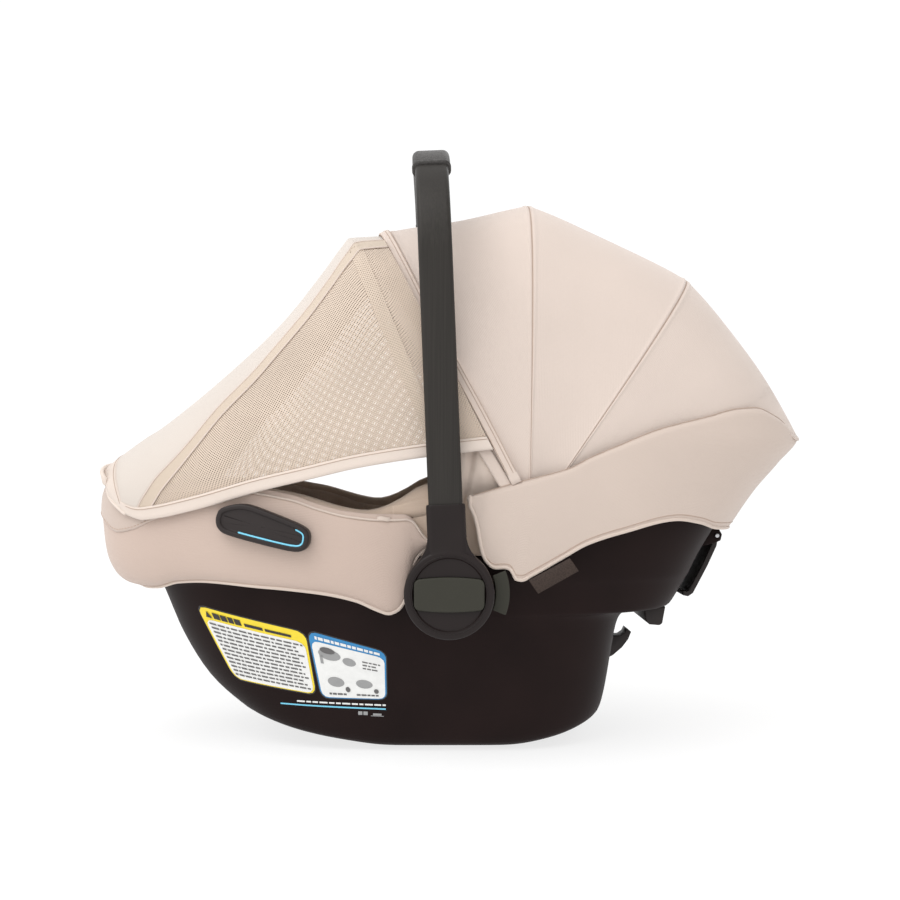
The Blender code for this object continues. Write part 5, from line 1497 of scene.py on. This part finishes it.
def make_grip():
    """The wrapped grip on the handle's bend, laced along its underside."""
    path = handle_path(GRIP_FROM, math.pi / 2, -1, 80)
    path += handle_path(GRIP_FROM, math.pi / 2, 1, 80)[-2::-1]

    def swell(t):
        end = min(t, 1 - t)
        return 1.0 - 0.10 * (1 - smooth_step(0, 0.008, end)) + 0.03 * (
            smooth_step(0.0, 0.010, end) - smooth_step(0.018, 0.030, end))

    profile = rounded_profile(GRIP_WIDE, GRIP_THICK, GRIP_CORNER, 10)
    grip = sweep_piece("grip", path, in_handle_x(), profile, GRIP_LEATHER, "handle",
                       swell)
    shade_smooth(grip, 50)
    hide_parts("handle_grip")
    below = [p - (p - in_handle((0, 0, 0.20))).normalized() * 0.012 for p in path[3:-3]]
    across = in_handle_x().normalized()
    tree = tree_of(grip)
    for name, shift in (("a", -0.0016), ("b", 0.0016)):
        line = [p + across * shift for p in below]
        stitches(f"grip_stitches_{name}", line, tree, DARK_THREAD, "handle")


def barrel_outline(half_wide, half_high, bulge, corner, steps=10, grow=1.0):
    """A rounded rectangle whose long sides bulge, as (x, z) points about the handle's axis."""
    corners = rounded_profile(half_wide * 2, half_high * 2, corner, steps)
    half = len(corners) // 2
    points, reach = [], half_wide - corner
    for start, side in ((0, 1), (half, -1)):
        points += corners[start:start + steps + 1]
        points += [(-side * t * reach, side * (half_high + bulge * (1 - t * t)))
                   for t in np.linspace(-1, 1, 17)[1:-1]]
        points += corners[start + steps + 1:start + half]
    return [(x * grow, z * grow + HANDLE_AXIS_Z) for x, z in points]


def fillet_mesh(side, lean):
    """The web that blends one side of the sleeve into the hub's disc."""
    start, bend, end = Vector((0.0174, 0.0500)), Vector((0.0180, 0.0375)), Vector((0.0300, 0.0262))
    curve = [start.lerp(bend, t).lerp(bend.lerp(end, t), t) for t in np.linspace(0, 1, 14)]
    outline = [Vector((0.010, 0.0500)), *curve, Vector((0.010, 0.020))]
    spots = [in_handle((lean * p.x, 0, p.y)) for p in outline]
    return extruded_mesh("fillet", [(p.x, p.z) for p in spots], side * (HUB_IN + 0.0092),
                         side * (HUB_OUT - 0.0016))


def hub_body(name, side):
    """The hub's disc, with the sleeve that holds the arm and the webs between them."""
    profile = [(0, HUB_IN), (HUB_R - 0.001, HUB_IN), (HUB_R, HUB_IN + 0.001)]
    for a in np.linspace(0, math.pi / 2, 9):
        profile.append((HUB_R - HUB_EDGE + HUB_EDGE * math.cos(a),
                        HUB_OUT - HUB_EDGE + HUB_EDGE * math.sin(a)))
    profile.append((0, HUB_OUT))
    hub = add_piece(f"hub_disc_{name}", turned_mesh(f"hub_disc_{name}", profile, side, 128),
                    HUB_PLASTIC, None)
    path = [in_handle((0, side * ARM_Y, z)) for z in
            (0.010, 0.034, 0.044, 0.060, 0.0775, 0.0792, 0.0797)]

    def taper(t):
        return 1.0 if t < 0.7 else (0.985 if t < 0.9 else 0.955)

    sleeve = sweep_mesh("sleeve", path, in_handle_x(),
                        rounded_profile(GRIP_WIDE, GRIP_THICK, SLEEVE_CORNER, 10), taper)
    return cut(hub, *cutters_of(sleeve, fillet_mesh(side, -1), fillet_mesh(side, 1)),
               operation="UNION")


def cutters_of(*meshes):
    return [put_in_scene("cutter", mesh) for mesh in meshes]


def make_hub(name, side):
    """A hub with its hole for the arm, the dish in its face and the button's well."""
    hub = hub_body(name, side)
    hole_path = [in_handle((0, side * ARM_Y, z)) for z in (0.0455, 0.100)]
    hole = sweep_mesh("hole", hole_path, in_handle_x(), rounded_profile(
        ARM_WIDE + 0.0010, ARM_THICK + 0.0010, 0.0045, 10))
    floor, above = HUB_OUT - DISH_DEEP, HUB_OUT + 0.004
    dish = turned_mesh("dish", [(0, floor), (DISH_R - 0.0008, floor), (DISH_R, floor + 0.0008),
                                (DISH_R + 0.0006, HUB_OUT + 0.0002), (DISH_R + 0.004, above),
                                (0, above)], side, 128)
    well = extruded_mesh("well", barrel_outline(*BUTTON_SHAPE, grow=1.022), side * WELL_FLOOR,
                         side * (HUB_OUT + 0.01))
    cut(hub, *cutters_of(hole, dish, well))
    shade_smooth(hub, 34)
    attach(hub, "handle")
    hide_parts(f"hub_{name}")
    ring = [(BEAD_R * math.cos(a), side * (HUB_OUT + 0.00012), HANDLE_AXIS_Z + BEAD_R * math.sin(a))
            for a in np.linspace(0, 2 * math.pi, 96, endpoint=False)]
    tube_piece(f"hub_bead_{name}", ring, 0.0005, HUB_PLASTIC, "handle", "hub_plastic", sides=8,
               closed=True)


def make_buttons(name, side):
    """The push button in a hub, and the curved release button beside it with its stem."""
    pad = extruded_mesh(f"hub_button_{name}", barrel_outline(*BUTTON_SHAPE), side * BUTTON_BACK,
                        side * BUTTON_FACE)
    pad = add_piece(f"hub_button_{name}", pad, OLIVE_PLASTIC, f"handle_button_{name}")
    bevel(pad, 0.0014, 5)
    shade_smooth(pad, 60)
    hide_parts(f"handle_button_{name}")
    turns = np.linspace(-TAB_SPREAD, TAB_SPREAD, 40)
    outline = [(radius * math.cos(a), HANDLE_AXIS_Z + radius * math.sin(a))
               for radius, way in ((TAB_OUT, 1), (TAB_IN, -1)) for a in turns[::way]]
    tab = extruded_mesh(f"release_tab_{name}", outline, side * TAB_BACK, side * TAB_FACE)
    tab = add_piece(f"release_tab_{name}", tab, OLIVE_PLASTIC, f"release_button_{name}")
    bevel(tab, 0.0009, 4)
    low, high = sorted((side * 0.1580, side * 0.1925))
    stem = box_cutter((0.0430, low, 0.1490), (0.0520, high, 0.1620))
    stem.name = f"release_stem_{name}"
    stem.data.materials.append(OLIVE_PLASTIC)
    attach(stem, f"release_button_{name}")
    bevel(stem, 0.0008, 2)
    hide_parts(f"release_button_{name}")


# ---- belt guides and tag --------------------------------------------------------------------------
GUIDE_SPOT = (-0.167, 0.2150)
GUIDE_OUTLINE = [(-0.0440, 0.0080), (-0.0400, 0.0180), (-0.0180, 0.0225), (0.0080, 0.0130),
                 (0.0380, 0.0010), (0.0430, -0.0060), (0.0415, -0.0170), (0.0345, -0.0225),
                 (0.0200, -0.0210), (-0.0360, -0.0070), (-0.0430, 0.0000)]

GUIDE_LINE = (0.0295, -0.0001), (-0.0250, -0.0050)   # the ends of its coloured line


def rounded_loop(points, rounds=3):
    """Cuts the corners of a closed outline until it is smooth."""
    points = [Vector(p) for p in points]
    for _ in range(rounds):
        points = [p.lerp(q, t) for p, q in zip(points, points[1:] + points[:1]) for t in (0.22, 0.78)]
    return points


def inset_loop(points, distance):
    """A closed outline (clockwise) moved inwards."""
    made = []
    for before, point, after in zip(points[-1:] + points[:-1], points, points[1:] + points[:1]):
        ahead = (after - before).normalized()
        made.append(point + Vector((ahead.y, -ahead.x)) * distance)
    return made


def make_guide(name, side):
    """The belt guide: a raised rim round a sunk face, with a coloured line along its lower edge."""
    loop = rounded_loop(GUIDE_OUTLINE)
    steps = [(0, 0.0014), (0, 0.0108), (0.0005, 0.0121), (0.0013, 0.0129), (0.0022, 0.0131),
             (0.0036, 0.0131), (0.0043, 0.0128), (0.0047, 0.0122), (0.0050, 0.0114),
             (0.0056, 0.0110), (0.0065, 0.0109), (0.0078, 0.0110)]
    rows = [[(p.x, side * y, p.y) for p in inset_loop(loop, inset)] for inset, y in steps]
    for share, y in ((0.5, 0.0112), (0.02, 0.0113)):
        rows.append([(p.x * share, side * y, p.y * share) for p in inset_loop(loop, 0.0078)])
    guide = grid_piece(f"guide_{name}", rows, BLACK_PLASTIC, None, "black_plastic", closed=True,
                       middle=Vector((0, 0, 0)))
    low = inset_loop(loop, 0.0053)
    start, end = (min(range(len(low)), key=lambda i: (low[i] - Vector(spot)).length)
                  for spot in GUIDE_LINE)
    kept = low[start:end + 1] if start < end else low[start:] + low[:end + 1]
    line = [(p.x, side * 0.0114, p.y) for p in kept]
    inlay = tube_piece(f"guide_line_{name}", even(line, 90), 0.0010, CYAN_PLASTIC, None,
                       "black_plastic")
    boot_front, boot_half = FOOT_ROWS[6][1:]
    turn = angle_at(GUIDE_SPOT[0], boot_front, COVER_REAR, COVER_POWER)
    (x, y), ahead = (plan_point(a, boot_front, COVER_REAR, boot_half, COVER_POWER)
                     for a in (turn, turn - 0.02))
    yaw = math.atan2(ahead[1] - y, ahead[0] - x)
    place = (Matrix.Translation((x, side * y, GUIDE_SPOT[1]))
             @ Matrix.Rotation(side * yaw, 4, "Z"))
    for piece in (guide, inlay):
        piece.data.transform(place)
        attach(piece, "carrier")
    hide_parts(f"belt_guide_{name}")


# ---- seat well ------------------------------------------------------------------------------------
BELOW = Vector((0, 0, -1))
CHANNEL, CHANNEL_PUFF = 0.052, 0.0036
ROLL_SUNK = 0.004           # how far the roll's edges lie under the rim
roll_rise = smooth_through([(-0.345, 0.0075), (-0.145, 0.0085), (-0.080, 0.0095), (-0.060, 0.0130),
                            (-0.035, 0.0200), (-0.015, 0.0280), (0.030, 0.0290), (0.090, 0.0200),
                            (0.330, 0.0110)])


def make_pad():
    """The seat's quilted cover, sewn across in channels."""
    rows = []
    for x in np.linspace(-0.3040, 0.2950, 200):
        row = []
        for v in np.linspace(-1, 1, 131):
            across = abs(math.sin((x + 0.31) / CHANNEL * math.pi)) ** 0.55
            down = min(1.0, abs(abs(v) - 0.70) / 0.05) ** 0.6
            row.append(seat_point(x, v, -0.0020 + CHANNEL_PUFF * min(across, down)))
        rows.append(row)
    rows = rumple(rows, 0.0012, 20.0, 41.0, BELOW)
    pad = grid_piece("pad", rows, PAD_CLOTH, "carrier", "pad_cloth", 0.0050, middle=BELOW)
    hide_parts("seat_pad")


def make_rim_roll():
    """The soft roll round the edge of the well."""
    roll = []
    for a in np.linspace(0, 2 * math.pi, 420, endpoint=False):
        inner = Vector(plan_point(a, WELL_FRONT - 0.002, WELL_REAR + 0.002, WELL_HALF + 0.001, 3.4))
        outer = Vector(plan_point(a, -0.3335, 0.3325, 0.1712, SHELL_POWER))
        ring = []
        for t in (k / 16 for k in range(17)):
            flat = inner.lerp(outer, (1 - math.cos(math.pi * t)) / 2)
            rise = (roll_rise(flat.x) + ROLL_SUNK) * math.sin(math.pi * t) ** 0.75
            ring.append((flat.x, flat.y, rim_z(flat.x) - ROLL_SUNK + rise))
        roll.append(ring)
    roll.append(roll[0])
    grid_piece("rim_roll", rumple(roll, 0.0010, 24.0, 43.0), LINING_CLOTH, "carrier", "pad_cloth",
               0.0015)


QUILT_HALF, QUILT_DEEP = 0.0035, 0.0016
CLOTH_FRAMES = 20


def drop_normals(piece):
    """Removes the normals that came with a CAD node's mesh."""
    attributes = piece.data.attributes
    if "custom_normal" in attributes:
        attributes.remove(attributes["custom_normal"])


def puffed(node, name, material, voxel, most, seams, pressure=4.0):
    """A stuffed piece: the node's shape, filled by a short cloth simulation and held along its
    seams. seams gives the distance of a point from the nearest sewn line."""
    piece = add_piece(name, NODES[node].data.copy(), material, None)
    drop_normals(piece)
    remesh = piece.modifiers.new("Remesh", "REMESH")
    remesh.mode = "VOXEL"
    remesh.voxel_size = voxel
    relax = piece.modifiers.new("Relax", "SMOOTH")
    relax.factor = 0.5
    relax.iterations = 6
    applied(piece)
    start = np.array([tuple(v.co) for v in piece.data.vertices])
    start = inflate(piece, start, most, seams, pressure)
    piece.data.vertices.foreach_set("co", start.ravel())
    for vert in piece.data.vertices:
        gap = seams(vert.co)
        if gap < QUILT_HALF:
            vert.co -= vert.normal * QUILT_DEEP * (1 - gap / QUILT_HALF)
    shade_smooth(piece)
    piece.data.update()
    subdivide(piece, 1)
    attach(piece, "carrier")
    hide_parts(node)


def inflate(piece, start, most, seams, pressure):
    """The points of a piece after the cloth simulation, each moved by no more than most."""
    held = piece.vertex_groups.new(name="held")
    for vert in piece.data.vertices:
        if seams(vert.co) < QUILT_HALF:
            held.add([vert.index], 1.0, "REPLACE")
    cloth = piece.modifiers.new("Cloth", "CLOTH")
    settings = cloth.settings
    settings.quality = 6
    settings.mass = 0.3
    settings.tension_stiffness = settings.compression_stiffness = 8.0
    settings.shear_stiffness = 4.0
    settings.bending_stiffness = 0.3
    settings.use_pressure = True
    settings.uniform_pressure_force = pressure
    settings.vertex_group_mass = "held"
    settings.effector_weights.gravity = 0.0
    cloth.collision_settings.use_collision = False
    cloth.point_cache.frame_start, cloth.point_cache.frame_end = 1, CLOTH_FRAMES
    scene = bpy.context.scene
    for frame_number in range(1, CLOTH_FRAMES + 1):
        scene.frame_set(frame_number)
    shown = piece.evaluated_get(bpy.context.evaluated_depsgraph_get()).to_mesh()
    ended = np.array([tuple(v.co) for v in shown.vertices])
    piece.modifiers.remove(cloth)
    scene.frame_set(1)
    moved = ended - start
    length = np.maximum(np.linalg.norm(moved, axis=1, keepdims=True), 1e-9)
    return start + moved * np.minimum(1.0, most / length)


def make_inserts():
    """The newborn's insert and head support, and the covers on the shoulder straps."""
    def body_seams(p):
        return min(abs(p.x - x) for x in (-0.055, 0.000, 0.058))

    def head_seams(p):
        return abs(abs(p.y) - 0.062)

    def strap_seams(p):
        return 1.0

    puffed("body_insert", "insert", INSERT_CLOTH, 0.0042, 0.006, body_seams)
    puffed("head_support", "headrest", INSERT_CLOTH, 0.0045, 0.009, head_seams)
    for name, _ in SIDES:
        puffed(f"harness_pad_{name}", f"strap_cover_{name}", INSERT_CLOTH, 0.0030, 0.0035, strap_seams,
               6.0)


def bow_line_z(x):
    """The height of the front bow's line at x, seen from the side."""
    return CANOPY_Z + (CANOPY_X - x) * math.tan(math.radians(180 - BOWS["front"][0]))


def make_gusset(name, side):
    """The loose cloth behind the handle, between the sunshade's hem and the covers."""
    rows = []
    for v in np.linspace(0, 1, 40):
        row = []
        for u in np.linspace(0, 1, 60):
            x = -0.0180 + 0.0760 * u
            z_low = 0.2280 + 0.0200 * u
            z_high = min(shade_hem_z(x), bow_line_z(x)) + 0.004
            ripple = 0.0010 * math.sin(9 * u + 5 * v) * math.sin(math.pi * v)
            fold = -0.0040 * math.exp(-((x - 0.0150 - 0.0070 * v) / 0.0035) ** 2)
            tuck = -0.0025 * math.exp(-((x - 0.0290 + 0.0100 * v) / 0.0045) ** 2) * (1 - v)
            y = 0.1755 + 0.0085 * smooth_step(0.0, 0.55, v) + ripple + fold + tuck
            y -= 0.0030 * smooth_step(0.040, 0.052, x)
            row.append((x, side * y, z_low + (z_high - z_low) * v))
        rows.append(row)
    gusset = grid_piece(f"gusset_{name}", rows, PIPING_CLOTH, "carrier", thick=0.0012)


def make_side_lining(name, side, low=0.1885):
    """The lining inside the shell, in the gap between the two covers."""
    rows = [[(x, side * (0.1718 + 0.0012 * math.sin(40 * x) * v), low + (rim_z(x) + 0.012 - low) * v)
             for x in np.linspace(-0.052, 0.040, 40)] for v in np.linspace(0, 1, 24)]
    grid_piece(f"side_lining_{name}", rows, LINING_CLOTH, "carrier", "pad_cloth", 0.0008)


LINK_ENDS = (114.0, 0.3072, 0.1822), (120.6, 0.3165, 0.1850)   # in the way BOWS gives them


def make_bow_sleeves():
    """The cloth sleeves on the legs of the two front bows."""
    profile = rounded_profile(0.0112, 0.0050, 0.0022, 5)
    for name in ("sunshade", "front"):
        theta, radius, half, across = bow_frame(name)
        path = arch_path(theta, radius, half, 0.020, 171)
        for label, leg in (("left", path[:44]), ("right", path[:-45:-1])):
            sweep_piece(f"bow_sleeve_{name}_{label}", leg, across, profile, TRIM_CLOTH, f"{name}_bow")


def make_shade_link():
    """The strip of cloth that joins the sunshade to the canopy's front edge."""
    start, end = LINK_ENDS
    for name, cloth, spans in (("top", SHADE_CLOTH, ((0.36, 0.64),)),
                               ("side", LINING_CLOTH, ((0.0, 0.36), (0.64, 1.0)))):
        for number, (low, high) in enumerate(spans):
            rows = []
            for t in np.linspace(0, 1, 14):
                degrees, radius, half = (a + (b - a) * t for a, b in zip(start, end))
                path = arch_path(math.radians(degrees), radius, half, 0.045, 401)
                rows.append(path[int(low * 400):int(high * 400) + 1])
            piece = grid_piece(f"shade_link_{name}_{number}", rows, cloth, None, "shade_cloth")
            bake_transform(piece, "front_bow", "sunshade_bow", start=bow_top("front"),
                     end=bow_top("sunshade"))
            fan(piece, start[0], end[0])


# ---- CAD parts that show as they are --------------------------------------------------------------
KEPT = {
    "foam_liner": (FOAM, 0.0), "rear_foot": (BLACK_PLASTIC, 0.0012), "lever_pin": (STEEL, 0.0003),
    "hook_pin": (STEEL, 0.0003), "side_tag": (TAG_LEATHER, 0.0004),
    "crotch_strap": (WEBBING, 0.0003), "buckle": (BLACK_PLASTIC, 0.0006),
    "adjuster_housing": (BLACK_PLASTIC, 0.0005), "adjuster_strap": (WEBBING, 0.0003),
    "latch_hook": (BLACK_PLASTIC, 0.0012), "release_lever": (BLACK_PLASTIC, 0.0008),
    "chest_clip": (BLACK_PLASTIC, 0.0006), "buckle_button": (RED_PLASTIC, 0.0004),
    "adjuster_lever": (OLIVE_PLASTIC, 0.0004), "front_bow": (BOW_PLASTIC, 0.0004),
    "middle_bow": (BOW_PLASTIC, 0.0004), "rear_bow": (BOW_PLASTIC, 0.0004),
    "sunshade_bow": (SLEEVE_CLOTH, 0.0004),
}
KEPT_IN_PAIRS = {
    "lever_bracket": (SHELL_PLASTIC, 0.0008), "shoulder_strap": (WEBBING, 0.0003),
    "hip_strap": (WEBBING, 0.0003), "tongue": (STEEL, 0.0003),
    "pivot_boss": (SHELL_PLASTIC, 0.0006), "pivot_axle": (STEEL, 0.0003),
    "button_spring": (STEEL, 0.0), "canopy_pin": (STEEL, 0.0003),
}


def finish_node(name, material, width):
    node = NODES[name]
    node.data.materials.clear()
    node.data.materials.append(material)
    drop_normals(node)
    shade_smooth(node)
    if width:
        weld = node.modifiers.new("Weld", "WELD")
        weld.merge_threshold = 0.00002
        bevel(node, width, 2, 40)


def finish_nodes():
    for name, (material, width) in KEPT.items():
        finish_node(name, material, width)
    for name, (material, width) in KEPT_IN_PAIRS.items():
        for label, _ in SIDES:
            finish_node(f"{name}_{label}", material, width)


# ---- assembly -------------------------------------------------------------------------------------
def build():
    shell = make_shell()
    make_labels(shell)
    boot, boot_rows = make_boot()
    make_toe_patch(boot)
    make_rim_loop(boot_rows)
    make_skirt()
    make_canopy()
    make_seam_tapes()
    make_front_binding()
    make_shade()
    make_shade_hem()
    make_arms()
    make_grip()
    for name, side in SIDES:
        make_hub(name, side)
        make_buttons(name, side)
        make_guide(name, side)
    for name, side in SIDES:
        make_gusset(name, side)
        make_side_lining(name, side)
    make_bow_sleeves()
    make_shade_link()
    make_pad()
    make_rim_roll()
    make_inserts()
    finish_nodes()


build()
